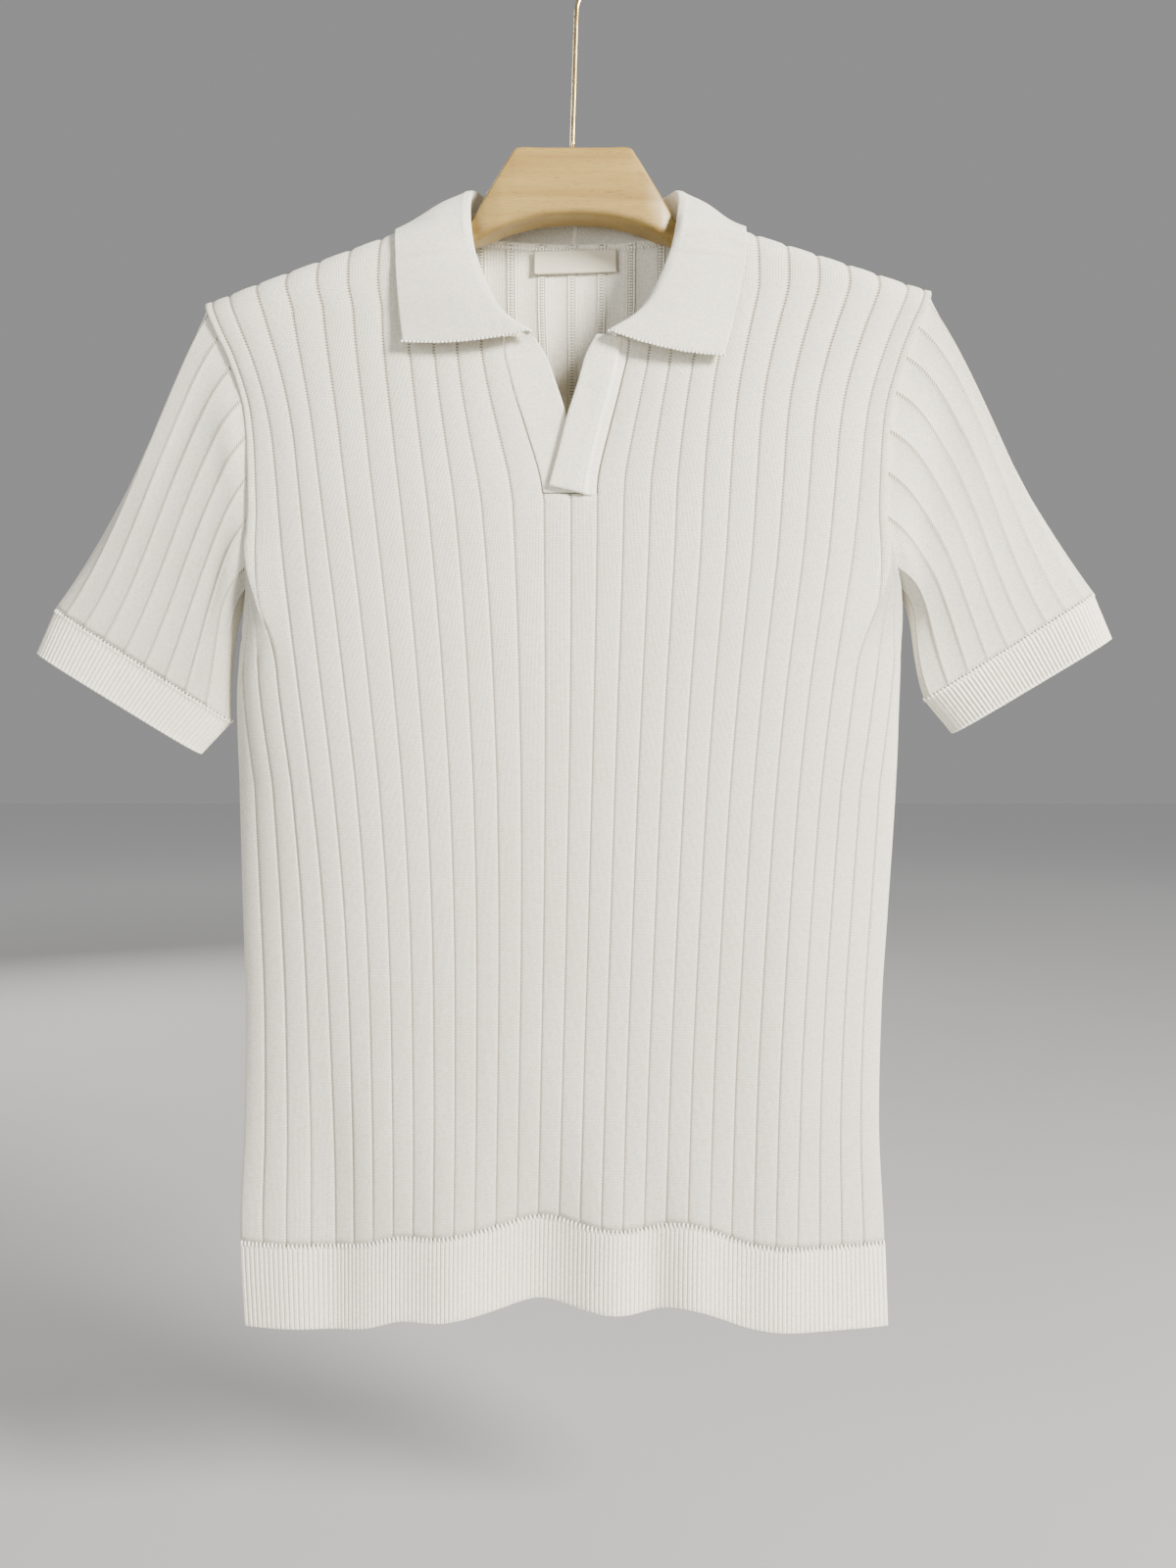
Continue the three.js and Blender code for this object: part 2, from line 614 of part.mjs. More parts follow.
function placket(kind) {
  const over = kind === 'over'
  const k = over ? slitRib : -slitRib
  const rows = 8
  const columns = []
  for (let i = 0; i <= 5; i += 1) columns.push({ share: i / 5, inner: true })
  const on = (column, row, offset) => {
    const z = lerp(placketTop, slitBottom + 0.8, row / rows)
    const seam = bodyPoint('front', k, Math.min(z, topHeight('front', k)))
    const seamX = seam.x - signOf(k) * 0.45
    const freeX = read(placketRows, 'z', z, over ? 'free' : 'under')
    const raised = over ? 3.1 * smooth(clamp(column.share * 2.6, 0, 1)) : 0
    const y = -placketDepth(z) - seamGap / 2 - raised - offset
    return new THREE.Vector3(lerp(seamX, freeX, column.share), y, z)
  }
  return wallGeometry({
    columns,
    rowCount: rows + 1,
    outer: (column, row) => on(column, row, 0.6),
    inner: (column, row) => on(column, row, -wall),
  })
}

// A small blank label on the inner face of the back neck
function neckLabel() {
  const columns = []
  for (let i = 0; i <= 6; i += 1) columns.push({ k: lerp(-1.25, 1.5, i / 6), inner: true })
  const on = (column, row, depth) => {
    const z = -190 - 14.5 * row + 0.6 * column.k
    return bodyPoint('back', column.k, z).addScaledVector(bodyNormal('back', column.k, z), -wall - depth)
  }
  return wallGeometry({
    columns,
    rowCount: 2,
    outer: (column, row) => on(column, row, 0.45),
    inner: (column, row) => on(column, row, 1.45),
  })
}

// The beech board, as rounded sections along X under the shoulder seams
const boardRows = [
  { x: 0, top: -140, bottom: -180, half: 10.5 },
  { x: 20, top: -140, bottom: -181.5, half: 10.5 },
  { x: 34, top: -140, bottom: -184.8, half: 10.5 },
  { x: 38, top: -146, bottom: -186, half: 10.5 },
  { x: 44.7, top: -156.3, bottom: -188.7, half: 10.5 },
  { x: 52.3, top: -168, bottom: -192.3, half: 9 },
  { x: 60, top: -180, bottom: -196, half: 6.5 },
  { x: 72, top: -193, bottom: -205, half: 5.2 },
]
const boardEnd = 208
const boardHeight = 19

function board() {
  const stations = []
  const add = (s, row) => stations.push({ x: s * row.x, top: row.top, bottom: row.bottom, half: row.half })
  const arm = (s, x) => {
    const k = (s * (x + 3) * lineRib) / ribLineRows[0][nameOf(s)]
    const top = shoulderHeight(k) - wall - seamGap - 0.2
    const end = clamp((boardEnd - x) / 12, 0, 1)
    const shrink = Math.sqrt(1 - (1 - end) ** 2)
    const half = lerp(3, 7, shrink)
    return { x, top: top - 5 * (1 - shrink), bottom: top - boardHeight + 5 * (1 - shrink), half }
  }
  const armPlaces = [88, 126, 165, 190, 202, boardEnd]
  for (const x of [...armPlaces].reverse()) add(-1, arm(-1, x))
  for (const row of [...boardRows].reverse()) add(-1, row)
  for (const row of boardRows.slice(1)) add(1, row)
  for (const x of armPlaces) add(1, arm(1, x))
  const ring = (station) => {
    const r = Math.min(4.5, station.half - 1)
    const points = []
    const corners = [[1, 1, 0], [-1, 1, 90], [-1, -1, 180], [1, -1, 270]]
    for (const [sy, sz, from] of corners) {
      for (const turn of [10, 80]) {
        const a = THREE.MathUtils.degToRad(from + turn)
        const y = sy * (station.half - r) + r * Math.cos(a)
        const z = (sz > 0 ? station.top - r : station.bottom + r) + r * Math.sin(a)
        points.push(new THREE.Vector3(station.x, y, z))
      }
    }
    return points
  }
  return ringSolid(stations.map(ring))
}

// A solid through rings with the same number of points, with flat ends
function ringSolid(rings) {
  const positions = []
  const triangles = []
  const n = rings[0].length
  for (const ring of rings) {
    for (const p of ring) positions.push(p.x, p.y, p.z)
  }
  for (let r = 0; r < rings.length - 1; r += 1) {
    for (let i = 0; i < n; i += 1) {
      const a = r * n + i
      const b = r * n + ((i + 1) % n)
      triangles.push(a, b, b + n, a, b + n, a + n)
    }
  }
  const last = (rings.length - 1) * n
  for (let i = 1; i < n - 1; i += 1) {
    triangles.push(0, i + 1, i, last, last + i, last + i + 1)
  }
  return closed(positions, triangles)
}

// The wire hook: a round open top, a short S-bend and a stem down to the board
const wireRadius = 1.5
const hookInner = 20
const wireSides = 8
const stemTop = [2, -56]
const stemFoot = [-0.6, -139.6]

function hook() {
  const reach = hookInner + wireRadius
  const path = []
  for (let degrees = 195; degrees >= -50; degrees -= 17.5) {
    const a = THREE.MathUtils.degToRad(degrees)
    path.push([reach * Math.cos(a), -hookInner + reach * Math.sin(a)])
  }
  const [x, z] = path[path.length - 1]
  const bend = new THREE.CubicBezierCurve(
    new THREE.Vector2(x, z),
    new THREE.Vector2(x - 7, z - 6),
    new THREE.Vector2(stemTop[0], stemTop[1] + 10),
    new THREE.Vector2(...stemTop),
  )
  for (let i = 1; i <= 4; i += 1) path.push(bend.getPoint(i / 4).toArray())
  for (let i = 1; i <= 3; i += 1) {
    path.push([lerp(stemTop[0], stemFoot[0], i / 3), lerp(stemTop[1], stemFoot[1], i / 3)])
  }
  const rings = path.map((p, i) => {
    const before = path[Math.max(0, i - 1)]
    const after = path[Math.min(path.length - 1, i + 1)]
    const flat = new THREE.Vector2(after[0] - before[0], after[1] - before[1]).normalize()
    const atEnd = i === path.length - 1
    const side = atEnd ? new THREE.Vector3(1, 0, 0) : new THREE.Vector3(-flat.y, 0, flat.x)
    const points = []
    for (let j = 0; j < wireSides; j += 1) {
      const a = (2 * Math.PI * j) / wireSides
      const offset = side.clone().multiplyScalar((atEnd ? -1 : 1) * wireRadius * Math.cos(a))
      points.push(new THREE.Vector3(p[0], wireRadius * Math.sin(a), p[1]).add(atEnd ? offset.negate() : offset))
    }
    return points
  })
  return ringSolid(rings)
}

const knit = new THREE.MeshStandardMaterial({ color: '#e4e2d7', roughness: 0.95, metalness: 0 })
const labelCloth = new THREE.MeshStandardMaterial({ color: '#e9e1cd', roughness: 0.8, metalness: 0 })
const beech = new THREE.MeshStandardMaterial({ color: '#cdb48c', roughness: 0.6, metalness: 0 })
const brass = new THREE.MeshStandardMaterial({ color: '#b9964f', roughness: 0.3, metalness: 1 })

const shirt = new THREE.Group()
function add(name, geometry, material) {
  const mesh = new THREE.Mesh(geometry, material)
  mesh.name = name
  shirt.add(mesh)
}
add('front_panel', bodyPanel('front'), knit)
add('back_panel', bodyPanel('back'), knit)
add('sleeve_left', sleeve('left'), knit)
add('sleeve_right', sleeve('right'), knit)
add('cuff_left', cuff('left'), knit)
add('cuff_right', cuff('right'), knit)
add('hem_band_front', hemBand('front'), knit)
add('hem_band_back', hemBand('back'), knit)
add('collar', collar(), knit)
add('placket_over', placket('over'), knit)
add('placket_under', placket('under'), knit)
add('neck_label', neckLabel(), labelCloth)
add('hanger_wood', board(), beech)
add('hanger_hook', hook(), brass)

export default shirt
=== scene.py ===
# %% [markdown]
# A knitted polo shirt on a wooden hanger
#
# The packed solids give every piece its place. Here each cloth piece becomes a thin knitted shell
# on the same form, with finer ribs, seams and folds. The script reads in millimetres, as a maker's
# drawing does, and scales each mesh to metres as it is made.

# %% Load the frame
import math

import bmesh
import bpy
import numpy as np
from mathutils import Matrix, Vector


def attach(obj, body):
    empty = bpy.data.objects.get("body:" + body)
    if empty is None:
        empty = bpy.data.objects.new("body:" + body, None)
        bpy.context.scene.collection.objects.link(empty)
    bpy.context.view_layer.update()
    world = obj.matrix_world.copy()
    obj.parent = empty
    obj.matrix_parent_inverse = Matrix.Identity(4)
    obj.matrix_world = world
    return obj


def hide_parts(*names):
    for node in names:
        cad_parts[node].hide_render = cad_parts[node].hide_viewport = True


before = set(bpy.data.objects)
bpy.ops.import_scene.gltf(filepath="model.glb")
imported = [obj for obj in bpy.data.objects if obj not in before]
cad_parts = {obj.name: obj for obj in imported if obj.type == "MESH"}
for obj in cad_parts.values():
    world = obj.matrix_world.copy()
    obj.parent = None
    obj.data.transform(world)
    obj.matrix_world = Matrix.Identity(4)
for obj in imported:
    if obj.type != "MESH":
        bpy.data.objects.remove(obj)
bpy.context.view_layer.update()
MM = 0.001
MM_IN_CM = 10
BODY = "root"
print("nodes in the frame:", sorted(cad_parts))

# %% [markdown]
# Camera
#
# The photo was taken by hand from under a metre away, level with the middle of the shirt. A close
# camera makes the near cloth larger, so the camera stands where the phone was.

# %% Camera
PHOTO_SIZE = (1200, 1600)
FOCAL_PIXELS = 1220
CAMERA_PLACE = (8.85, -720.0, -519.5)
SENSOR = 36.0

camera_data = bpy.data.cameras.new("camera")
camera_data.sensor_fit = "VERTICAL"
camera_data.sensor_height = SENSOR
camera_data.lens = SENSOR * FOCAL_PIXELS / PHOTO_SIZE[1]
camera_data.clip_start = 0.01
camera = bpy.data.objects.new("camera", camera_data)
bpy.context.scene.collection.objects.link(camera)
camera.location = Vector(CAMERA_PLACE) * MM
camera.rotation_euler = (math.pi / 2, 0, 0)
bpy.context.scene.camera = camera
print("lens in mm:", round(camera_data.lens, 2))

# %% [markdown]
# Tables
#
# A garment is drawn from a few widths at a few heights. Each table below has named columns and a
# row for each section, and a smooth curve through the rows gives every place between them.


# %% Table reader
def table(names, rows):
    columns = np.array(rows, dtype=float).T
    return dict(zip(names.split(), columns))


def read(rows, key, at, name):
    """A smooth curve through one named column of a table."""
    keys = rows[key]
    values = rows[name]
    order = 1 if keys[1] > keys[0] else -1
    at = np.asarray(at, dtype=float)
    i = np.searchsorted(keys * order, at * order, side="right") - 1
    i = np.clip(i, 0, len(keys) - 2)
    span = keys[i + 1] - keys[i]
    t = np.clip((at - keys[i]) / span, 0, 1)
    before = np.maximum(np.arange(len(keys)) - 1, 0)
    after = np.minimum(np.arange(len(keys)) + 1, len(keys) - 1)
    slopes = (values[after] - values[before]) / (keys[after] - keys[before])
    rise = values[i + 1] - values[i]
    bend = (1 - t) * (slopes[i] * span - rise) - t * (slopes[i + 1] * span - rise)
    return values[i] + rise * t + t * (1 - t) * bend


def smooth(t):
    t = np.clip(t, 0, 1)
    return t * t * (3 - 2 * t)


def bell(distance, width):
    return np.exp(-((distance / width) ** 2))


print("a bell one width from its middle:", round(float(bell(1.0, 1.0)), 3))

# %% Sizes of the body
WALL = 1.2
RIB_RAISE = 0.8
SEAM_GAP = 0.3
SIDE_RIB = 15.0
ARMHOLE_RIB = 11.7
LINE_RIB = 11.0
NECK_RIB = 4.0
SLIT_RIB = 1.0
SLIT_BOTTOM = -352.0
ARMHOLE_BOTTOM = -372.0
PIT_DROP = 35.0
HEM_SEAM = -795.0
HEM_RISE = 15.0
HEM_PEAK = -0.8
HEM_SPREAD = 5.5
BACK_HEM_SHARE = 0.6
BAND_HEIGHT = 50.0
SHOULDER_ROUND = 16.0
NECK_HEIGHT = -179.5
SHOULDER_FALL = {-1: 52.8, 1: 45.0}
SETTLE = 80.0
CROWD = 0.36
CROWD_BOTTOM = -520
CROWD_LENGTH = 103
FLATTER = 0.08
FLATTER_POWER = 10
PUSH_END = 8

ARMHOLE = table(
    "z left right",
    [
        (-172, 219, 213),
        (-224, 219, 213.6),
        (-233, 218.9, 211.5),
        (-251, 211.5, 203),
        (-271, 201.8, 195.3),
        (-302, 192.4, 187),
        (-354, 190, 184.2),
        (-372, 191, 185.6),
        (-440, 199, 196.2),
    ],
)
RIB_LINES = table(
    "z left right",
    [
        (-172, 206, 200),
        (-224, 205.5, 199),
        (-234, 202.5, 196),
        (-250, 196, 189),
        (-271, 187.5, 181),
        (-293, 180.6, 174.5),
        (-315, 176, 170.8),
        (-338, 173.3, 168.6),
        (-384, 169.2, 163.8),
        (-417, 165.4, 158.8),
        (-463, 159.6, 152),
        (-520, 152.2, 146),
        (-577, 146, 142),
        (-634, 142, 139),
        (-692, 139.6, 137),
        (-749, 138, 136.6),
        (-850, 137.2, 136.8),
    ],
)
SIDES = table(
    "z left right",
    [
        (-360, 192, 193),
        (-407, 194.5, 195.6),
        (-462, 201, 195.3),
        (-520, 200.6, 194),
        (-593, 198.8, 189.4),
        (-652, 197.1, 185.6),
        (-726, 198, 184.1),
        (-785, 200.4, 187),
        (-850, 197.3, 189.4),
    ],
)
DEPTHS = table(
    "z front back middle",
    [
        (-172, 15, 19, -1),
        (-206, 16, 20, -1),
        (-232, 20, 20, -1),
        (-262, 24, 21, -1),
        (-300, 27, 22, -1),
        (-350, 29, 24, -1.2),
        (-460, 29, 23, -1.6),
        (-600, 24, 19, -4),
        (-700, 19, 15, -6.5),
        (-800, 13, 11, -9),
        (-850, 12, 11, -9.5),
    ],
)
OPENING = table(
    "z left right",
    [
        (-172, -8, -8),
        (-215, 14, 12),
        (-262, 22, 17),
        (-287, 18, 13),
        (-313, 10.5, 7),
        (-340, 2.6, 1),
        (-356, 0, 0),
    ],
)
NECKLINE = table(
    "rib front back",
    [
        (0, -256, -187),
        (1, -250, -186.8),
        (2, -232, -186),
        (3, -206, -184),
        (4, -180, -180),
    ],
)
# side, rib, width in ribs, depth outward in mm, where it starts and where it is whole
FOLDS = [
    ("front", -11, 1.3, -3.5, -640, -760),
    ("front", -5.2, 1.6, 3.5, -690, -820),
    ("front", -0.8, 2.0, -6.5, -690, -810),
    ("front", 2.4, 1.3, 3, -700, -820),
    ("front", 4.5, 0.9, -3, -720, -820),
    ("front", 6.4, 1.0, 2.5, -720, -820),
    ("front", 10.5, 1.6, 2.5, -480, -640),
    ("back", -8, 1.6, -3, -620, -790),
    ("back", -1.5, 2.2, 3.5, -660, -810),
    ("back", 3.5, 1.5, -4, -600, -790),
    ("back", 9.5, 1.4, 2.5, -640, -800),
]
print("body tables:", len(DEPTHS["z"]), "depths,", len(FOLDS), "folds")

# %% [markdown]
# Body form
#
# Front and back are the two halves of a flattened tube. A place on one is named by its rib, from
# -15 to 15 across, and its height. The tube's section is a flat oval: nearly straight in the
# middle and round at the sides, and over the shoulders it turns in to the seam on the hanger.


# %% Body form
def across(share):
    return share * (1 + FLATTER * (1 - share**FLATTER_POWER))


def bulge(share):
    return np.sqrt(np.maximum(0, 1 - across(share) ** 4))


def by_hand(k, left, right):
    return np.where(k < 0, left, right)


def both(rows, key, at, k):
    return by_hand(k, read(rows, key, at, "left"), read(rows, key, at, "right"))


def shoulder_height(k):
    fall = by_hand(k, SHOULDER_FALL[-1], SHOULDER_FALL[1])
    past = np.maximum(0, (np.abs(k) - NECK_RIB) / (ARMHOLE_RIB - NECK_RIB))
    return NECK_HEIGHT - past * fall


def top_height(side, k):
    neck = read(NECKLINE, "rib", np.abs(k), side)
    return np.where(np.abs(k) >= NECK_RIB, shoulder_height(k), neck)


def armhole_height(k):
    past = np.clip((np.abs(k) - ARMHOLE_RIB) / (SIDE_RIB - ARMHOLE_RIB), 0, 1)
    return ARMHOLE_BOTTOM - PIT_DROP * np.sqrt(past)


# rib where each small wave of the hem is highest, its half width in ribs, its height
HEM_WAVES = [(-7.7, 1.4, 4.0), (-0.9, 1.6, 4.0), (6.0, 2.3, 12.0)]


def hem_height(side, k):
    wave = HEM_RISE * bell(k - HEM_PEAK, HEM_SPREAD)
    for middle, width, height in HEM_WAVES:
        wave = wave + height * bell(k - middle, width)
    return HEM_SEAM + wave * (1.0 if side == "front" else BACK_HEM_SHARE)


def settling(z):
    """0 beside the armholes, 1 a hand's width below them."""
    return smooth((ARMHOLE_BOTTOM - z) / SETTLE)


def half_width(k, z):
    far = np.abs(k)
    line = both(RIB_LINES, "z", z, k)
    even = both(SIDES, "z", z, k)
    inner = line * across(far / SIDE_RIB) / across(LINE_RIB / SIDE_RIB)
    strip = np.clip((far - LINE_RIB) / (ARMHOLE_RIB - LINE_RIB), 0, 1)
    edge = line + (both(ARMHOLE, "z", z, k) - line) * strip
    past = np.maximum(0, far - ARMHOLE_RIB) / (SIDE_RIB - ARMHOLE_RIB)
    cut = edge + (even - edge) * (1 - (1 - past) ** 2)
    q = np.maximum(0, far - LINE_RIB) / (SIDE_RIB - LINE_RIB)
    crowd = CROWD * np.clip((z - CROWD_BOTTOM) / CROWD_LENGTH, 0, 1)
    lower = line + (even - line) * q * (1 + crowd * (1 - q**4))
    return np.where(far <= LINE_RIB, inner, cut + (lower - cut) * settling(z))


def body_point(side, k, z):
    """The bare outer face of the front or back at a rib and a height."""
    k, z = np.broadcast_arrays(np.asarray(k, float), np.asarray(z, float))
    out = -1 if side == "front" else 1
    shift = both(OPENING, "z", z, k) if side == "front" else 0.0
    push_share = np.clip((PUSH_END - np.abs(k)) / (PUSH_END - SLIT_RIB), 0, 1) ** 2
    pushed = shift * push_share * np.clip(np.abs(k), 0, 1)
    middle = read(DEPTHS, "z", z, "middle") * (1 - (k / SIDE_RIB) ** 2)
    x = np.where(k < 0, -1, 1) * (half_width(k, z) + pushed) + middle
    drop = np.clip((shoulder_height(k) - z) / SHOULDER_ROUND, 0, 1)
    over = np.sqrt(1 - (1 - drop) ** 2)
    depth = read(DEPTHS, "z", z, side) * bulge(np.abs(k) / SIDE_RIB) * over
    for fold_side, rib, width, high, top, bottom in FOLDS:
        if fold_side == side:
            depth = depth + high * smooth((top - z) / (top - bottom)) * bell(k - rib, width)
    return np.stack([x, out * (depth + SEAM_GAP / 2), z], axis=-1)


def unit(v):
    return v / np.maximum(np.linalg.norm(v, axis=-1, keepdims=True), 1e-9)


def body_normal(side, k, z):
    out = -1 if side == "front" else 1
    step = np.where(k > 0, -0.02, 0.02)
    here = body_point(side, k, z)
    across_ribs = (body_point(side, k + step, z) - here) * np.sign(step)[..., None]
    along_rib = body_point(side, k, z - 0.06) - here
    normal = unit(np.cross(across_ribs, along_rib))
    return normal * np.where(normal[..., 1] * out < 0, -1, 1)[..., None]


print("chest depth:", np.round(np.ptp([body_point(s, 0.5, -400.0)[1] for s in ("front", "back")]), 1))

# %% [markdown]
# From a grid to a knitted piece
#
# Every cloth piece starts as a grid of points: columns across the ribs and rows along them. The
# helper turns a grid into a mesh, leaves out the faces past the cut edge, and lays a UV map that
# counts ribs across and centimetres along, so the knit pattern follows the cloth. A Solidify
# modifier then gives the shell its real thickness.


# %% Grid helper
def knit_mesh(name, points, ribs_across, along, keep=None, closed=False):
    """points is rows x columns x 3 in mm; ribs_across and along are the UV coordinates."""
    row_count, column_count = points.shape[:2]
    index = np.arange(row_count * column_count).reshape(row_count, column_count)
    last = column_count if closed else column_count - 1
    left = index[:-1, :last]
    right = np.roll(index, -1, axis=1)[:-1, :last]
    low_left = index[1:, :last]
    low_right = np.roll(index, -1, axis=1)[1:, :last]
    quads = np.stack([left, low_left, low_right, right], axis=-1)
    across_uv = np.broadcast_to(ribs_across, (row_count, column_count)).astype(float)
    along_uv = np.broadcast_to(along, (row_count, column_count)).astype(float)
    next_across = np.roll(across_uv, -1, axis=1)
    if closed:
        pitch = across_uv[:, 1:2] - across_uv[:, 0:1]
        next_across = next_across.copy()
        next_across[:, -1:] = across_uv[:, -1:] + pitch
    next_along = np.roll(along_uv, -1, axis=1)
    corner_u = [across_uv[:-1], across_uv[1:], next_across[1:], next_across[:-1]]
    corner_v = [along_uv[:-1], along_uv[1:], next_along[1:], next_along[:-1]]
    uv = np.stack(
        [np.stack([u[:, :last], v[:, :last]], axis=-1) for u, v in zip(corner_u, corner_v)],
        axis=-2,
    )
    if keep is not None:
        quads = quads[keep]
        uv = uv[keep]
    quads = quads.reshape(-1, 4)
    uv = uv.reshape(-1, 2)
    used, flat_index = np.unique(quads, return_inverse=True)
    mesh = bpy.data.meshes.new(name)
    mesh.from_pydata((points.reshape(-1, 3)[used] * MM).tolist(), [], flat_index.reshape(-1, 4).tolist())
    layer = mesh.uv_layers.new(name="cloth")
    layer.data.foreach_set("uv", uv.ravel())
    mesh.polygons.foreach_set("use_smooth", [True] * len(mesh.polygons))
    mesh.update()
    return mesh


def surface_area(mesh):
    """Square metres of one face of the cloth."""
    areas = np.empty(len(mesh.polygons))
    mesh.polygons.foreach_get("area", areas)
    return float(areas.sum())


def cloth_piece(name, node, mesh, thickness=WALL):
    piece = bpy.data.objects.new(name, mesh)
    bpy.context.scene.collection.objects.link(piece)
    solid = piece.modifiers.new("cloth thickness", "SOLIDIFY")
    solid.thickness = thickness * MM
    solid.offset = -1
    piece["cut_area"] = surface_area(mesh)
    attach(piece, BODY)
    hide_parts(node)
    print(name, len(mesh.polygons), "faces,", round(piece["cut_area"], 4), "square metres")
    return piece


# %% [markdown]
# Ribs
#
# The knit is a wide rib: flat wales about 14 mm wide between narrow purl grooves. Close to the
# shoulders the groove is stretched open, so it is wider there. Each rib gets eight columns, close
# together at the groove and far apart on the flat.

# %% Rib profile
RIB_STOPS = np.array([0, 0.035, 0.075, 0.15, 0.5, 0.85, 0.925, 0.965])
GROOVE_WIDTH = 0.062
GROOVE_OPEN = 0.035


def rib_lines(first, last, extra=()):
    whole = np.arange(math.floor(first), math.ceil(last))
    places = (whole[:, None] + RIB_STOPS).ravel()
    places = np.concatenate([places, [last], extra])
    places = np.unique(np.round(places, 4))
    return places[(places >= first) & (places <= last)]


def rib_height(k, open_share):
    """How far the outer face stands above the groove's bottom."""
    off = np.abs(k - np.round(k))
    width = GROOVE_WIDTH + GROOVE_OPEN * open_share
    crown = 0.12 * (1 - (2 * (0.5 - np.minimum(off, 0.5))) ** 2)
    return RIB_RAISE * (1 - bell(off, width)) + crown


print("columns in one rib:", len(RIB_STOPS))

# %% [markdown]
# Front and back
#
# The front has a slit for the placket, and both panels narrow to the armholes. The grid covers
# the whole piece, and the faces beyond the armholes and in the slit are left out.

# %% Panels
TOP_DROPS = np.array([0, 0.25, 0.8, 1.8, 3.2, 5, 7.2, 10, 13, 16])
YOKE_ROWS = 30
PIT_ROWS = 5
LOWER_ROWS = 84
SHORT_RIB = 11.5
SHORT_STOPS = np.array([11.3, 11.44, 11.47, 11.485, 11.5, 11.515, 11.53, 11.56, 11.62])


def panel_heights(side, k):
    top = top_height(side, k)
    armhole = armhole_height(k)
    yoke_top = top - TOP_DROPS[-1]
    parts = [top - TOP_DROPS[:, None]]
    steps = (np.arange(YOKE_ROWS) + 1)[:, None] / YOKE_ROWS
    parts.append(yoke_top + (SLIT_BOTTOM - yoke_top) * steps)
    steps = (np.arange(PIT_ROWS) + 1)[:, None] / PIT_ROWS
    parts.append(SLIT_BOTTOM + (armhole - SLIT_BOTTOM) * steps)
    steps = (np.arange(LOWER_ROWS) + 1)[:, None] / LOWER_ROWS
    parts.append(armhole + (hem_height(side, k) - armhole) * steps)
    return np.concatenate(parts)


def rib_number(k, z):
    """The armholes cut the twelfth rib short, so above them its groove lies closer to the edge."""
    far = np.abs(k)
    short = LINE_RIB + (far - LINE_RIB) / (SHORT_RIB - LINE_RIB)
    number = np.where(far > LINE_RIB, far + (short - far) * (1 - settling(z)), far)
    return np.sign(k) * number


# %% [markdown]
# Slide of the ribs
#
# Left of the opening the cloth is drawn outward by the sleeve, and its ribs lie up to 0.4 of a rib
# further out. The form stays as it is: only the ribs slide along it, so no edge or seam moves.


# %% Rib slide
RIB_SLIDE = table(
    "z left",
    [
        (-241, 0.0),
        (-250, 0.10),
        (-265, 0.25),
        (-282, 0.37),
        (-300, 0.43),
        (-323, 0.43),
        (-346, 0.36),
        (-381, 0.22),
        (-415, 0.13),
        (-461, 0.06),
        (-520, 0.0),
    ],
)


def slid(side, k, z):
    """The rib coordinate whose place on the form a rib takes."""
    if side == "back":
        return k
    beside_slit = smooth((-k - SLIT_RIB) / 2)
    beside_armhole = smooth((LINE_RIB + k) / 2.5)
    return k - read(RIB_SLIDE, "z", z, "left") * beside_slit * beside_armhole


print("furthest slide, in ribs:", RIB_SLIDE["left"].max())


# %% Front and back
def body_panel(side):
    beside = np.concatenate([SHORT_STOPS, [ARMHOLE_RIB]])
    k = rib_lines(-SIDE_RIB, SIDE_RIB, np.concatenate([-beside, beside]))
    z = panel_heights(side, k)
    k_grid = np.broadcast_to(k, z.shape)
    number = rib_number(k_grid, z)
    open_share = smooth((z + 380) / 120)
    lift = rib_height(number, open_share)
    hem_pull = 1 - 0.5 * bell(z - hem_height(side, k_grid), 5)
    place = slid(side, k_grid, z)
    points = body_point(side, place, z)
    points = points + body_normal(side, place, z) * (lift * hem_pull)[..., None]
    row = np.arange(z.shape[0] - 1)[:, None]
    middle = np.abs(k[1:] + k[:-1]) / 2
    slit_row = len(TOP_DROPS) - 1 + YOKE_ROWS
    armhole_row = slit_row + PIT_ROWS
    keep = (row >= armhole_row) | (middle < ARMHOLE_RIB)
    if side == "front":
        keep &= (row >= slit_row) | (middle > SLIT_RIB)
    if side == "back":
        points = points[:, ::-1]
        keep = keep[:, ::-1]
        number = number[:, ::-1]
        z = z[:, ::-1]
    mesh = knit_mesh(f"{side}_cloth", points, number, -z / MM_IN_CM, keep)
    return cloth_piece(f"{side}_cloth", f"{side}_panel", mesh)


front_cloth = body_panel("front")
back_cloth = body_panel("back")

# %% [markdown]
# Hem band
#
# The hem is a separate strip of one-by-one rib, linked to the panels. Its ribs are under 3 mm
# apart, so each is one round cord of knit with a thin valley beside it. The strip is stretched as
# it is linked, so the seam and the lower edge hang in small waves.

# %% Hem bands
FINE_RIBS = 147
FINE_RAISE = 0.75
FINE_STOPS = 6
BAND_LIFT = 0.35


def fine_rib(count):
    """Heights of the small ribs at each column of a band."""
    turns = np.arange(count * FINE_STOPS + 1) / FINE_STOPS
    return turns, FINE_RAISE * np.abs(np.sin(np.pi * turns)) ** 0.7


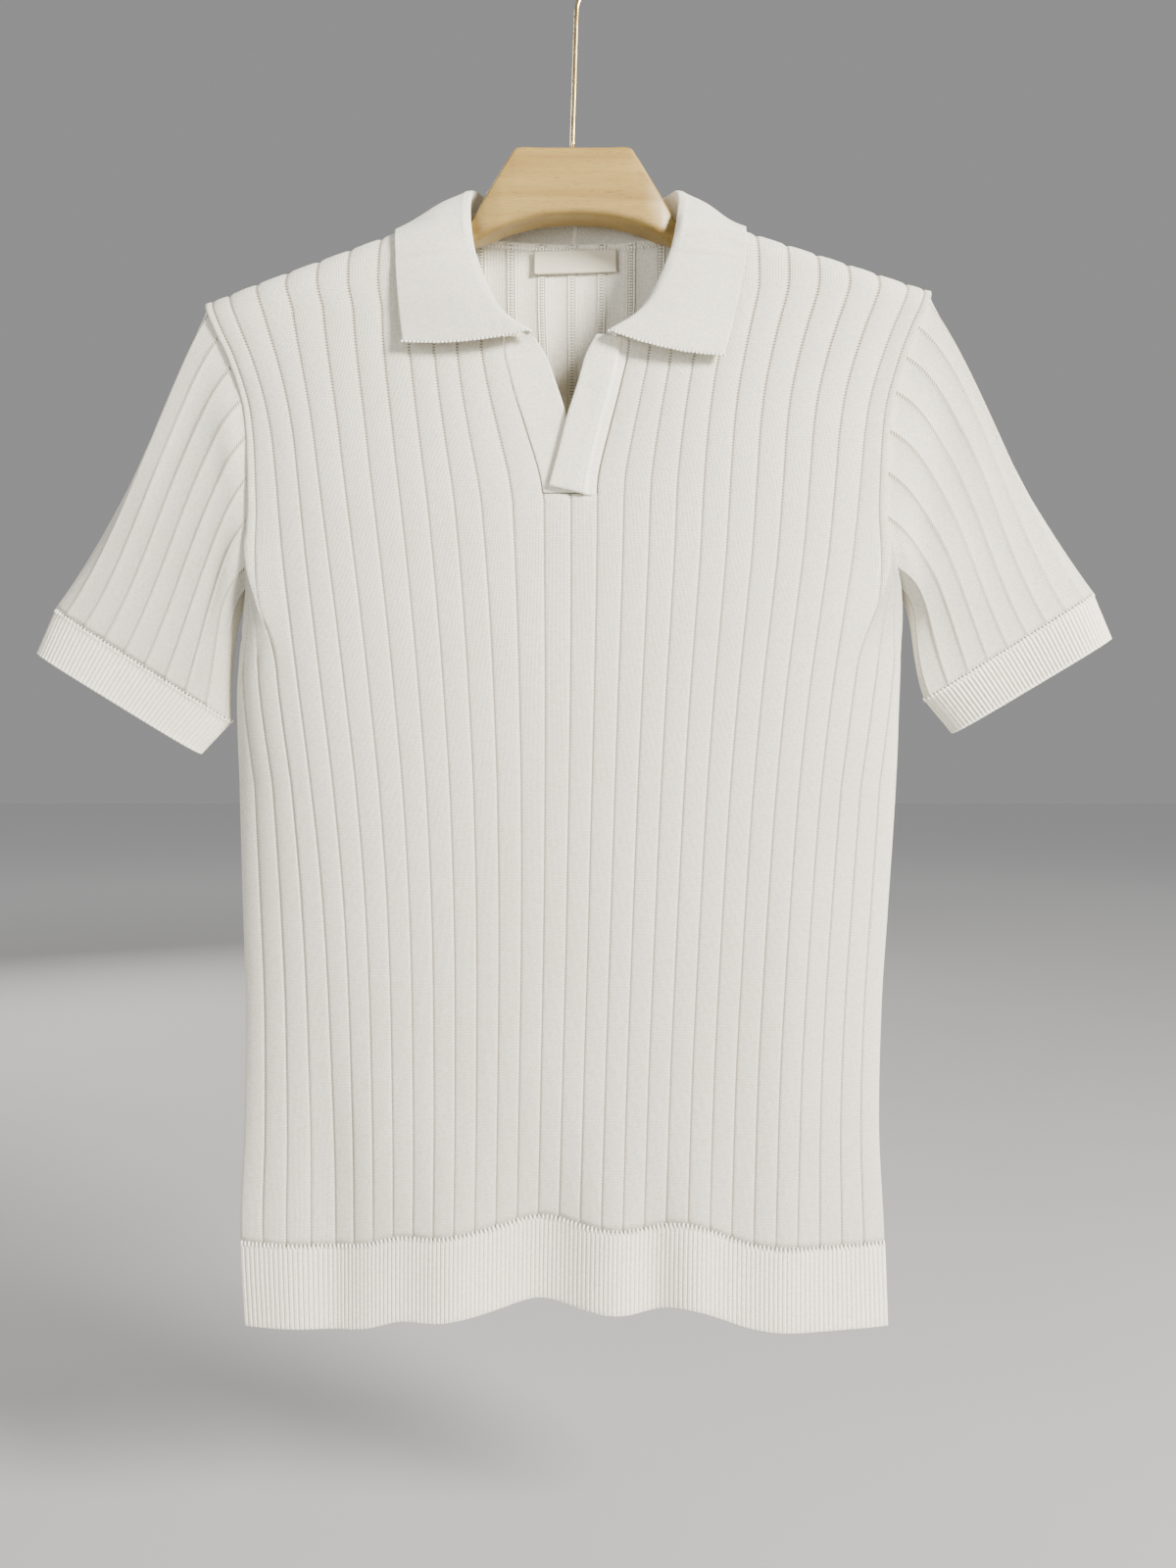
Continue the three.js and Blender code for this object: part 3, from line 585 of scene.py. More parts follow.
def hem_band(side):
    turns, lift = fine_rib(FINE_RIBS)
    k = SIDE_RIB * (2 * turns / FINE_RIBS - 1)
    share = np.concatenate([[0, 0.012, 0.03], np.linspace(0.07, 0.96, 14), [0.985, 1]])[:, None]
    top = hem_height(side, k) - SEAM_GAP
    z = top - BAND_HEIGHT * share
    k_grid = np.broadcast_to(k, z.shape)
    edge = 1 - 0.9 * np.maximum(bell(share, 0.02), bell(share - 1, 0.02))
    swell = BAND_LIFT + lift * edge
    points = body_point(side, k_grid, z) + body_normal(side, k_grid, z) * swell[..., None]
    turns_grid = np.broadcast_to(turns, z.shape)
    if side == "back":
        points = points[:, ::-1]
        turns_grid = turns_grid[:, ::-1]
        z = z[:, ::-1]
    mesh = knit_mesh(f"hem_{side}", points, turns_grid, -z / MM_IN_CM)
    return cloth_piece(f"hem_{side}", f"hem_band_{side}", mesh)


hem_front = hem_band("front")
hem_back = hem_band("back")

# %% [markdown]
# Sleeves
#
# A sleeve is one panel closed to a tube. Its ribs leave the armhole seam almost level, then bend
# down towards the cuff, so each rib line is a Bezier curve from the armhole edge to the cuff seam
# with a start slope and an end direction from the table.

# %% Sleeve sizes
EDGE_SHIFT = -0.7
SLEEVE_RIBS = 19
CUFF_DEPTH = 9.0
ARMHOLE_TURN = 0.77
SLEEVE_ENDS = {
    "left": {"o": (-312, -414), "i": (-204.9, -482), "oEnd": (-323.3, -440.4), "iEnd": (-223.6, -501.8)},
    "right": {"o": (313.3, -404.5), "i": (210.6, -468.8), "oEnd": (324.5, -431.6), "iEnd": (227.7, -489.4)},
}
SLEEVE_LINES = table(
    "share slope start outward down end swell",
    [
        (0, 72, 45, 0.6, 0.8, 60, 0),
        (0.15, 45, 44, 0.6, 0.8, 60, 4),
        (0.4, 26, 40, 0.52, 0.85, 60, 5),
        (0.7, 34, 32, 0.35, 0.94, 50, 3),
        (0.85, 30, 24, 0.2, 1, 40, 0),
        (1, 50, 16, 0, 0.92, 24, 0),
    ],
)
LEFT_STEEPER = 22.0
RIGHT_INWARD = 0.38
# hand, turn round the sleeve, place along it, their widths, and the depth outward in mm
SLEEVE_FOLDS = [
    ("left", 0.13, 0.3, 0.05, 0.22, 2.5),
    ("left", 0.24, 0.12, 0.06, 0.1, -3.0),
    ("left", 0.36, 0.45, 0.05, 0.25, 1.8),
    ("left", 0.76, 0.4, 0.07, 0.3, -2.4),
    ("right", 0.2, 0.3, 0.05, 0.16, 2.6),
    ("right", 0.17, 0.52, 0.05, 0.16, -2.2),
    ("right", 0.33, 0.32, 0.07, 0.14, 2.2),
    ("right", 0.3, 0.6, 0.07, 0.2, -1.8),
    ("right", 0.72, 0.45, 0.07, 0.3, -2.4),
]
print("sleeve ribs:", SLEEVE_RIBS, "folds:", len(SLEEVE_FOLDS))


# %% Sleeve form
def armhole_point(side, hand, share):
    s = -1 if hand == "left" else 1
    out = -1 if side == "front" else 1
    top = float(shoulder_height(s * ARMHOLE_RIB))
    down = np.clip(share / ARMHOLE_TURN, 0, 1) ** 1.35
    upper = body_point(side, s * ARMHOLE_RIB, top + (ARMHOLE_BOTTOM - top) * down)
    upper[..., 0] += s * EDGE_SHIFT
    upper[..., 1] -= np.where(share < 0.001, out * SEAM_GAP / 2, 0)
    q = np.clip((share - ARMHOLE_TURN) / (1 - ARMHOLE_TURN), 0, 1)
    k = s * (ARMHOLE_RIB + (SIDE_RIB - ARMHOLE_RIB) * q)
    lower = body_point(side, k, armhole_height(k))
    lower[..., 0] += s * (RIB_RAISE + EDGE_SHIFT)
    lower[..., 2] += EDGE_SHIFT
    lower[..., 1] = np.where(share > 0.999, 0, lower[..., 1])
    return np.where((share <= ARMHOLE_TURN)[..., None], upper, lower)


def end_point(side, hand, share, along_cuff):
    ends = SLEEVE_ENDS[hand]
    out = -1 if side == "front" else 1
    e = 1 - 2 * share
    half = ((1 - np.sign(e) * across(np.abs(e))) / 2)[..., None]
    seam = np.array(ends["o"]) * (1 - half) + np.array(ends["i"]) * half
    edge = np.array(ends["oEnd"]) * (1 - half) + np.array(ends["iEnd"]) * half
    place = seam + (edge - seam) * np.asarray(along_cuff)[..., None]
    y = out * CUFF_DEPTH * bulge(np.abs(e))
    return np.stack([place[..., 0], y, place[..., 1]], axis=-1)


def half_sleeve(side, hand, share, t):
    out = -1 if side == "front" else 1
    s = -1 if hand == "left" else 1
    get = lambda name: read(SLEEVE_LINES, "share", share, name)
    start = armhole_point(side, hand, share)
    end = end_point(side, hand, share, np.zeros_like(share))
    steeper = LEFT_STEEPER * np.sin(np.pi * share) if hand == "left" else 0
    slope = np.radians(get("slope") + steeper)
    pull = get("start")
    swell = out * get("swell")
    a = start + np.stack([s * np.cos(slope) * pull, swell, -np.sin(slope) * pull], axis=-1)
    fall = get("end")
    inward = RIGHT_INWARD * smooth((share - 0.7) / 0.3) if hand == "right" else 0
    outward = get("outward") + inward
    b = end + np.stack([-s * outward * fall, swell, get("down") * fall], axis=-1)
    t = t[..., None]
    u = 1 - t
    return u**3 * start + 3 * u * u * t * a + 3 * u * t * t * b + t**3 * end


def sleeve_point(hand, turn, t):
    turn, t = np.broadcast_arrays(np.asarray(turn, float) % 1.0, np.asarray(t, float))
    front = half_sleeve("front", hand, np.clip(2 * turn, 0, 1), t)
    back = half_sleeve("back", hand, np.clip(2 * (1 - turn), 0, 1), t)
    return np.where((turn <= 0.5)[..., None], front, back)


def tube_normal(point, turn, t, s):
    step = 0.004
    around = point(turn + step, t) - point(turn - step, t)
    along = point(turn, np.clip(t + 0.02, 0, 1)) - point(turn, np.clip(t - 0.02, 0, 1))
    return unit(np.cross(around, along)) * s


sleeve_top = sleeve_point("left", 0.0, np.array([0.0, 1.0]))
sleeve_drop = float(np.linalg.norm(sleeve_top[1] - sleeve_top[0]))
print("left sleeve from shoulder to cuff, in mm:", round(sleeve_drop))


# %% Sleeves
SLEEVE_ROWS = 56


def sleeve(hand):
    s = 1 if hand == "left" else -1
    k = (np.arange(SLEEVE_RIBS)[:, None] + RIB_STOPS).ravel()
    turn = (k / SLEEVE_RIBS)[None, :]
    t = np.linspace(0, 1, SLEEVE_ROWS)[:, None] ** 1.15
    turn, t = np.broadcast_arrays(turn, t)
    point = lambda a, b: sleeve_point(hand, a, b)
    lift = rib_height(turn * SLEEVE_RIBS, 1 - t) * (1 - 0.8 * bell(t, 0.02))
    for fold_hand, at, place, wide, tall, high in SLEEVE_FOLDS:
        if fold_hand == hand:
            lift = lift + high * bell(turn - at, wide) * bell(t - place, tall)
    points = point(turn, t) + tube_normal(point, turn, t, s) * lift[..., None]
    length = np.linalg.norm(np.diff(points, axis=0), axis=-1).cumsum(axis=0)
    along = np.concatenate([np.zeros((1, turn.shape[1])), length]) / MM_IN_CM
    if hand == "right":
        points = points[:, ::-1]
        along = along[:, ::-1]
        k = k[::-1]
    mesh = knit_mesh(f"sleeve_{hand}_cloth", points, np.broadcast_to(k, turn.shape), along, closed=True)
    return cloth_piece(f"sleeve_{hand}_cloth", f"sleeve_{hand}", mesh)


sleeve_left = sleeve("left")
sleeve_right = sleeve("right")

# %% [markdown]
# Cuffs
#
# Each cuff is a short ring of the same one-by-one rib as the hem, linked to the sleeve's end.

# %% Cuffs
CUFF_RIBS = 98
CUFF_START = 0.025
CUFF_CENTIMETRES = 2.8


def cuff_point(hand, turn, t):
    turn, t = np.broadcast_arrays(turn % 1.0, t)
    along = CUFF_START + (1 - CUFF_START) * t
    front = end_point("front", hand, np.clip(2 * turn, 0, 1), along)
    back = end_point("back", hand, np.clip(2 * (1 - turn), 0, 1), along)
    return np.where((turn <= 0.5)[..., None], front, back)


def cuff(hand):
    s = 1 if hand == "left" else -1
    turns, lift = fine_rib(CUFF_RIBS)
    turns, lift = turns[:-1], lift[:-1]
    share = np.concatenate([[0, 0.02, 0.05], np.linspace(0.1, 0.93, 9), [0.975, 1]])[:, None]
    point = lambda a, b: cuff_point(hand, a, b)
    turn, t = np.broadcast_arrays((turns / CUFF_RIBS)[None, :], share)
    edge = 1 - 0.9 * np.maximum(bell(t, 0.03), bell(t - 1, 0.03))
    normal = tube_normal(point, turn, t, s)
    points = point(turn, t) + normal * (BAND_LIFT + lift * edge)[..., None]
    along = t * CUFF_CENTIMETRES
    if hand == "right":
        points = points[:, ::-1]
        turns = turns[::-1]
    mesh = knit_mesh(f"cuff_{hand}_rib", points, np.broadcast_to(turns, turn.shape), along, closed=True)
    return cloth_piece(f"cuff_{hand}_rib", f"cuff_{hand}", mesh)


cuff_left = cuff("left")
cuff_right = cuff("right")

# %% [markdown]
# Collar
#
# The collar is one flat knitted rectangle. Its long edge is linked to the neckline, it stands up
# inside, rolls over and lies on the shoulders. Each section goes from the neck seam over the roll
# to the outer edge, and the leaf is lifted clear of the shoulder that it lies on.

# %% Collar sizes
COLLAR_WALL = 1.6
LEAF_CLEAR = RIB_RAISE + COLLAR_WALL / 2 + 1.1
COLLAR_FRONT = np.array([-25, -30.2, -261.0])
COLLAR_MIDDLE = 8
END_SAG = 3.4
COLLAR = table(
    "at neck rx ry rz ex ey ez swell",
    [
        (0, -3, -23.8, -31.8, -258.5, -98.3, -30, -264.3, 1),
        (1, -3, -38.6, -29.5, -248, -100, -27, -251, 1.5),
        (2, -2, -48.2, -24.5, -233, -101.5, -24, -233, 2),
        (3, -1, -57.7, -19, -208, -103, -19, -212, 3),
        (4, -0.3, -61.4, -12.5, -183, -104, -12, -196, 4),
        (5, 0.3, -61, 4, -162, -104, 3, -190, 5),
        (6, 1.2, -51, 18, -160.2, -95, 20, -199, 4),
        (7, 2.6, -30, 23, -161, -60, 27, -223, 3),
        (8, 4, 0, 24, -162, 0, 28, -233, 2),
    ],
)
print("collar sections on each side:", len(COLLAR["at"]))


# %% Collar form
def off_body(p, clearance):
    """Moves points that would touch the body cloth out to a clearance from it."""
    x, y, z = p[..., 0], p[..., 1], p[..., 2]
    k = x * LINE_RIB / both(RIB_LINES, "z", z, x)
    depth = np.where(y < 0, read(DEPTHS, "z", z, "front"), read(DEPTHS, "z", z, "back"))
    depth = depth * bulge(np.minimum(1, np.abs(k) / SIDE_RIB)) + SEAM_GAP
    centre = shoulder_height(k) - SHOULDER_ROUND
    up = np.maximum(0, z - centre)
    radius = np.maximum(np.hypot(y / depth, up / SHOULDER_ROUND), 0.01)
    least = 1 + clearance / np.minimum(depth, SHOULDER_ROUND)
    scale = np.maximum(1, least / radius)
    return np.stack([x, y * scale, np.where(up > 0, centre + up * scale, z)], axis=-1)


def neck_point(hand, neck):
    front_side = neck < 0

    def on(side, n, lower=0.0):
        k = hand * np.maximum(0.001, NECK_RIB - np.abs(n))
        return k, top_height(side, k) - lower

    def point(n):
        front = body_point("front", *on("front", n))
        back = body_point("back", *on("back", n))
        return np.where((n < 0)[..., None], front, back)

    along = point(np.maximum(-3, neck - 0.1)) - point(neck + 0.1)
    normal_front = body_normal("front", *on("front", neck, 0.4))
    normal_back = body_normal("back", *on("back", neck, 0.4))
    normal = np.where(front_side[..., None], normal_front, normal_back)
    away = unit(np.cross(along, normal))
    away = away * np.where(away[..., 2:3] < 0, -1, 1)
    return point(neck) + normal * (RIB_RAISE - WALL) / 2 - away * 0.6


def collar_half(mirror, place):
    s = -1.0 if mirror else 1.0
    get = lambda name: read(COLLAR, "at", place, name)
    roll = np.stack([s * get("rx"), get("ry"), get("rz")], axis=-1)
    edge = np.stack([s * get("ex"), get("ey"), get("ez")], axis=-1)
    front = COLLAR_FRONT * np.array([s, 1, 1])
    seam = neck_point(-s, get("neck"))
    to_front = (1 - smooth(place))[..., None]
    seam = seam + (front - seam) * to_front
    near_end = np.clip(1 - place / 3, 0, 1)
    if mirror:
        roll[..., 0] += 1.5 - 5 * np.clip(1 - place / 4.5, 0, 1)
        edge[..., 0] -= 3 + 8 * near_end
        edge[..., 2] -= 8 * near_end
    flat = np.array([1, 1, 0])
    outward = unit((edge - roll) * flat)
    round_back = unit(roll * np.array([1, 2.4, 0]))
    outward = np.where((place > 3)[..., None], unit(outward * 0.3 + round_back * 0.7), outward)
    ahead = smooth(1 - place / 4.5)[..., None]
    away = outward * (1 - ahead) + np.array([0, -1, 0]) * ahead
    away[..., 2] += 0.8 * np.clip(1 - np.abs(place - 5) / 2, 0, 1)
    away = unit(away)
    swell = get("swell")[..., None]
    end_sag = smooth(1 - place / 1.2)[..., None] * np.array([0, 0, -1.0])

    def leaf(t, lift):
        sag = end_sag * END_SAG * 4 * t * (1 - t)
        return off_body(roll + (edge - roll) * t + away * lift + sag, LEAF_CLEAR)

    return np.stack(
        [
            seam,
            seam + (roll - seam) * 0.5 - away * 0.6,
            roll - away * 0.2 - np.array([0, 0, 0.6]),
            leaf(0.035, 1.9) + np.array([0, 0, 0.5]),
            leaf(0.1, 2.9),
            leaf(0.35, 2.9 + swell * 0.4),
            leaf(0.68, 2.2 + swell * 0.35),
            leaf(1, 1.2),
        ]
    )


def spline_rows(knots, t):
    """Smooth rows through the knots of each section."""
    last = len(knots) - 1
    i = np.clip(np.floor(t).astype(int), 0, last - 1)
    u = (t - i)[:, None, None]
    p1, p2 = knots[i], knots[i + 1]
    m1 = (p2 - knots[np.maximum(i - 1, 0)]) / 2
    m2 = (knots[np.minimum(i + 2, last)] - p1) / 2
    return (
        (2 * u**3 - 3 * u**2 + 1) * p1
        + (u**3 - 2 * u**2 + u) * m1
        + (3 * u**2 - 2 * u**3) * p2
        + (u**3 - u**2) * m2
    )


# %% Collar piece
COLLAR_COLUMNS = 241
COLLAR_ROWS = 64
COLLAR_WALES_MM = 14


def collar():
    at = np.linspace(0, 2 * COLLAR_MIDDLE, COLLAR_COLUMNS)
    left = collar_half(False, np.minimum(at, COLLAR_MIDDLE))
    right = collar_half(True, np.minimum(2 * COLLAR_MIDDLE - at, COLLAR_MIDDLE))
    knots = np.where((at <= COLLAR_MIDDLE)[None, :, None], left, right)
    t = np.linspace(0, len(knots) - 1, COLLAR_ROWS)
    points = spline_rows(knots, t)
    along = np.linalg.norm(np.diff(points, axis=0), axis=-1).cumsum(axis=0)
    along = np.concatenate([np.zeros((1, len(at))), along]) / MM_IN_CM
    around = np.linalg.norm(np.diff(points[-1], axis=0), axis=-1).cumsum()
    around = np.concatenate([[0], around]) / COLLAR_WALES_MM
    normal = unit(np.cross(np.gradient(points, axis=1), np.gradient(points, axis=0)))
    points = points + normal * COLLAR_WALL / 2
    mesh = knit_mesh("collar_leaf", points[:, ::-1], around[::-1], along[:, ::-1])
    return cloth_piece("collar_leaf", "collar", mesh, COLLAR_WALL)


collar_leaf = collar()

# %% [markdown]
# Placket
#
# The placket is two plain bands sewn to the slit. The band on the right lies over the other one,
# with a stitched ridge along its middle, and its lower end laps on the front.

# %% Placket bands
PLACKET_TOP = -259.0
PLACKET = table(
    "z free under",
    [
        (-257, 14.5, -24),
        (-270, 7.7, -15.6),
        (-287, 2.9, -9.5),
        (-306, -3.1, -3.6),
        (-327, -8.4, 0.5),
        (-351, -14.9, 4.5),
    ],
)
BAND_COLUMNS = 33
BAND_ROWS = 60
OVER_RAISE = 3.1
OVER_SLANT = 6.5


def placket(kind):
    over = kind == "over"
    k = SLIT_RIB if over else -SLIT_RIB
    share, row = np.meshgrid(np.linspace(0, 1, BAND_COLUMNS), np.linspace(0, 1, BAND_ROWS))
    foot = SLIT_BOTTOM + 0.8 + (OVER_SLANT * (share - 0.45) if over else 0)
    z = PLACKET_TOP + (foot - PLACKET_TOP) * row
    seam_x = body_point("front", np.full_like(z, k), z)[..., 0] - np.sign(k) * 0.45
    free_x = read(PLACKET, "z", z, "free" if over else "under")
    raised = OVER_RAISE * smooth(share * 2.6) if over else 0 * share
    ridge = 0.6 * bell(share - 0.25, 0.035) - 0.4 * bell(share - 0.17, 0.03) if over else 0 * share
    rounded = -0.5 * bell(share - 1, 0.03) - 0.4 * bell(share, 0.03)
    wave = 0.25 * np.sin(row * 9 + share * 2) * bell(share - 0.8, 0.3)
    y = -read(DEPTHS, "z", z, "front") - SEAM_GAP / 2 - raised - 0.6 - ridge - rounded - wave
    points = np.stack([seam_x + (free_x - seam_x) * share, y, z], axis=-1)
    if over:
        points = points[:, ::-1]
    mesh = knit_mesh(f"placket_{kind}_band", points, share * 2, row * 9.2)
    return cloth_piece(f"placket_{kind}_band", f"placket_{kind}", mesh, WALL + 0.6)


placket_over = placket("over")
placket_under = placket("under")

# %% [markdown]
# Neck label
#
# A small woven label is sewn inside the back neck. It is blank, with a folded edge at each end.

# %% Neck label
LABEL_LEFT = -1.25
LABEL_RIGHT = 1.5
LABEL_TOP = -190
LABEL_TALL = 14.5
LABEL_TILT = 0.6


def neck_label():
    k = np.linspace(LABEL_LEFT, LABEL_RIGHT, 45)[None, :]
    row = np.linspace(0, 1, 15)[:, None]
    k, row = np.broadcast_arrays(k, row)
    z = LABEL_TOP - LABEL_TALL * row + LABEL_TILT * k
    fold = 0.25 * (bell(k - LABEL_LEFT, 0.09) + bell(k - LABEL_RIGHT, 0.09))
    curl = 0.35 * bell(row - 1, 0.25)
    depth = WALL + 1.45 + fold + curl
    points = body_point("back", k, z) - body_normal("back", k, z) * depth[..., None]
    mesh = knit_mesh("label_tape", points, k, row)
    piece = cloth_piece("label_tape", "neck_label", mesh, 0.9)
    return piece


label_tape = neck_label()

# %% [markdown]
# Hanger board
#
# The board is shaped beech, 2 cm thick in the middle, with an arched underside and thinner arms
# that follow the shoulder seams. It is drawn as rounded sections along its length.

# %% Hanger board
BOARD = table(
    "x top bottom half",
    [
        (0, -140, -180, 10.5),
        (20, -140, -181.5, 10.5),
        (34, -140.3, -184.8, 10.5),
        (38, -145.5, -186, 10.5),
        (44.7, -156.3, -188.7, 10.4),
        (52.3, -168, -192.3, 9),
        (60, -180, -196, 6.5),
        (72, -193, -205, 5.2),
    ],
)
BOARD_END = 208.0
BOARD_HEIGHT = 19.0
ARM_START = 88.0
ARM_HALF = 7.0
ARM_TIP_HALF = 3
ARM_TIP_LENGTH = 12
TABLE_END = 72
CORNER_ROUND = 4.5
CORNER_STEPS = 7


def ring_mesh(name, rings):
    """A closed smooth solid through rings of the same number of points, in mm."""
    n = len(rings[0])
    points = np.concatenate(rings)
    faces = []
    for r in range(len(rings) - 1):
        for i in range(n):
            j = (i + 1) % n
            faces.append((r * n + i, r * n + j, r * n + n + j, r * n + n + i))
    last = (len(rings) - 1) * n
    faces.append(tuple(range(n))[::-1])
    faces.append(tuple(range(last, last + n)))
    mesh = bpy.data.meshes.new(name)
    mesh.from_pydata((points * MM).tolist(), [], faces)
    bm = bmesh.new()
    bm.from_mesh(mesh)
    bmesh.ops.recalc_face_normals(bm, faces=bm.faces)
    bm.to_mesh(mesh)
    bm.free()
    mesh.polygons.foreach_set("use_smooth", [True] * len(mesh.polygons))
    return mesh


def arm_section(x):
    s = -1 if x < 0 else 1
    widest = RIB_LINES["left"][0] if s < 0 else RIB_LINES["right"][0]
    k = s * (abs(x) + 3) * LINE_RIB / widest
    top = float(shoulder_height(k)) - WALL - SEAM_GAP - 0.2
    from_tip = min(1, (BOARD_END - abs(x)) / ARM_TIP_LENGTH)
    shrink = math.sqrt(1 - (1 - from_tip) ** 2)
    half = ARM_TIP_HALF + (ARM_HALF - ARM_TIP_HALF) * shrink
    return top - 5 * (1 - shrink), top - BOARD_HEIGHT + 5 * (1 - shrink), half


def board_section(x):
    if abs(x) >= ARM_START:
        return arm_section(x)
    shaped = [float(read(BOARD, "x", min(abs(x), TABLE_END), name)) for name in ("top", "bottom", "half")]
    share = float(smooth((abs(x) - TABLE_END) / (ARM_START - TABLE_END)))
    arm = arm_section(math.copysign(ARM_START, x))
    return [a + (b - a) * share for a, b in zip(shaped, arm)]


def board_ring(x):
    top, bottom, half = board_section(x)
    r = min(CORNER_ROUND, half - 1)
    turns = np.radians(np.linspace(0, 90, CORNER_STEPS))
    corners = [(1, top - r, 0), (-1, top - r, 90), (-1, bottom + r, 180), (1, bottom + r, 270)]
    points = []
    for side, z, start in corners:
        a = turns + math.radians(start)
        y = side * (half - r) + r * np.cos(a)
        points.append(np.stack([np.full_like(a, x), y, z + r * np.sin(a)], axis=-1))
    return np.concatenate(points)


def board():
    half = np.concatenate([np.linspace(0, 30, 9), np.linspace(33, 72, 40), np.linspace(75, 190, 24)])
    half = np.concatenate([half, np.linspace(193, BOARD_END, 14)])
    places = np.concatenate([-half[:0:-1], half])
    piece = bpy.data.objects.new("beech_board", ring_mesh("beech_board", [board_ring(x) for x in places]))
    bpy.context.scene.collection.objects.link(piece)
    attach(piece, BODY)
    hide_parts("hanger_wood")
    print("board from end to end, in mm:", 2 * BOARD_END)
    return piece


beech_board = board()

# %% [markdown]
# Hook
#
# The hook is one length of brass wire: an open ring over the rail, a small S-bend that brings the
# pull under the ring's middle, and a straight stem down to the board.

# %% Hook
WIRE_RADIUS = 1.5
HOOK_INNER = 20.0
STEM_TOP = (2.0, -56.0)
STEM_FOOT = (-0.6, -139.6)
WIRE_SIDES = 20
HOOK_TIP_DEGREES = 195
HOOK_END_DEGREES = -50


def hook_path():
    reach = HOOK_INNER + WIRE_RADIUS
    turns = np.radians(np.linspace(HOOK_TIP_DEGREES, HOOK_END_DEGREES, 70))
    arc = np.stack([reach * np.cos(turns), -HOOK_INNER + reach * np.sin(turns)], axis=-1)
    end = arc[-1]
    t = (np.arange(16) + 1)[:, None] / 16
    pull = [end, end + (-7, -6), np.array(STEM_TOP) + (0, 10), np.array(STEM_TOP)]
    u = 1 - t
    bend = u**3 * pull[0] + 3 * u * u * t * pull[1] + 3 * u * t * t * pull[2] + t**3 * pull[3]
    down = (np.arange(12) + 1)[:, None] / 12
    stem = np.array(STEM_TOP) * (1 - down) + np.array(STEM_FOOT) * down
    return np.concatenate([arc, bend, stem])


def hook():
    path = hook_path()
    along = unit(np.gradient(path, axis=0))
    turns = np.linspace(0, 2 * math.pi, WIRE_SIDES, endpoint=False)
    rings = []
    for i, ((x, z), (ax, az)) in enumerate(zip(path, along)):
        tip = WIRE_RADIUS * math.sqrt(1 - (1 - min(1, (i + 0.25) / 3)) ** 2)
        centre = np.array([x, 0, z])
        side = np.array([-az, 0, ax])
        deep = np.array([0, 1, 0])
        rings.append(np.array([centre + side * tip * math.cos(a) + deep * tip * math.sin(a) for a in turns]))
    piece = bpy.data.objects.new("brass_hook", ring_mesh("brass_hook", rings))
    bpy.context.scene.collection.objects.link(piece)
    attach(piece, BODY)
    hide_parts("hanger_hook")
    return piece


brass_hook = hook()
print("board and hook faces:", len(beech_board.data.polygons), len(brass_hook.data.polygons))

# %% [markdown]
# Linking stitches
#
# Rib bands are linked to the panels loop by loop, which leaves a row of small raised stitches. One
# Geometry Nodes tree sets a stitch at each step along a seam line, turned to lie across it, with
# a little unevenness from a fixed seed.


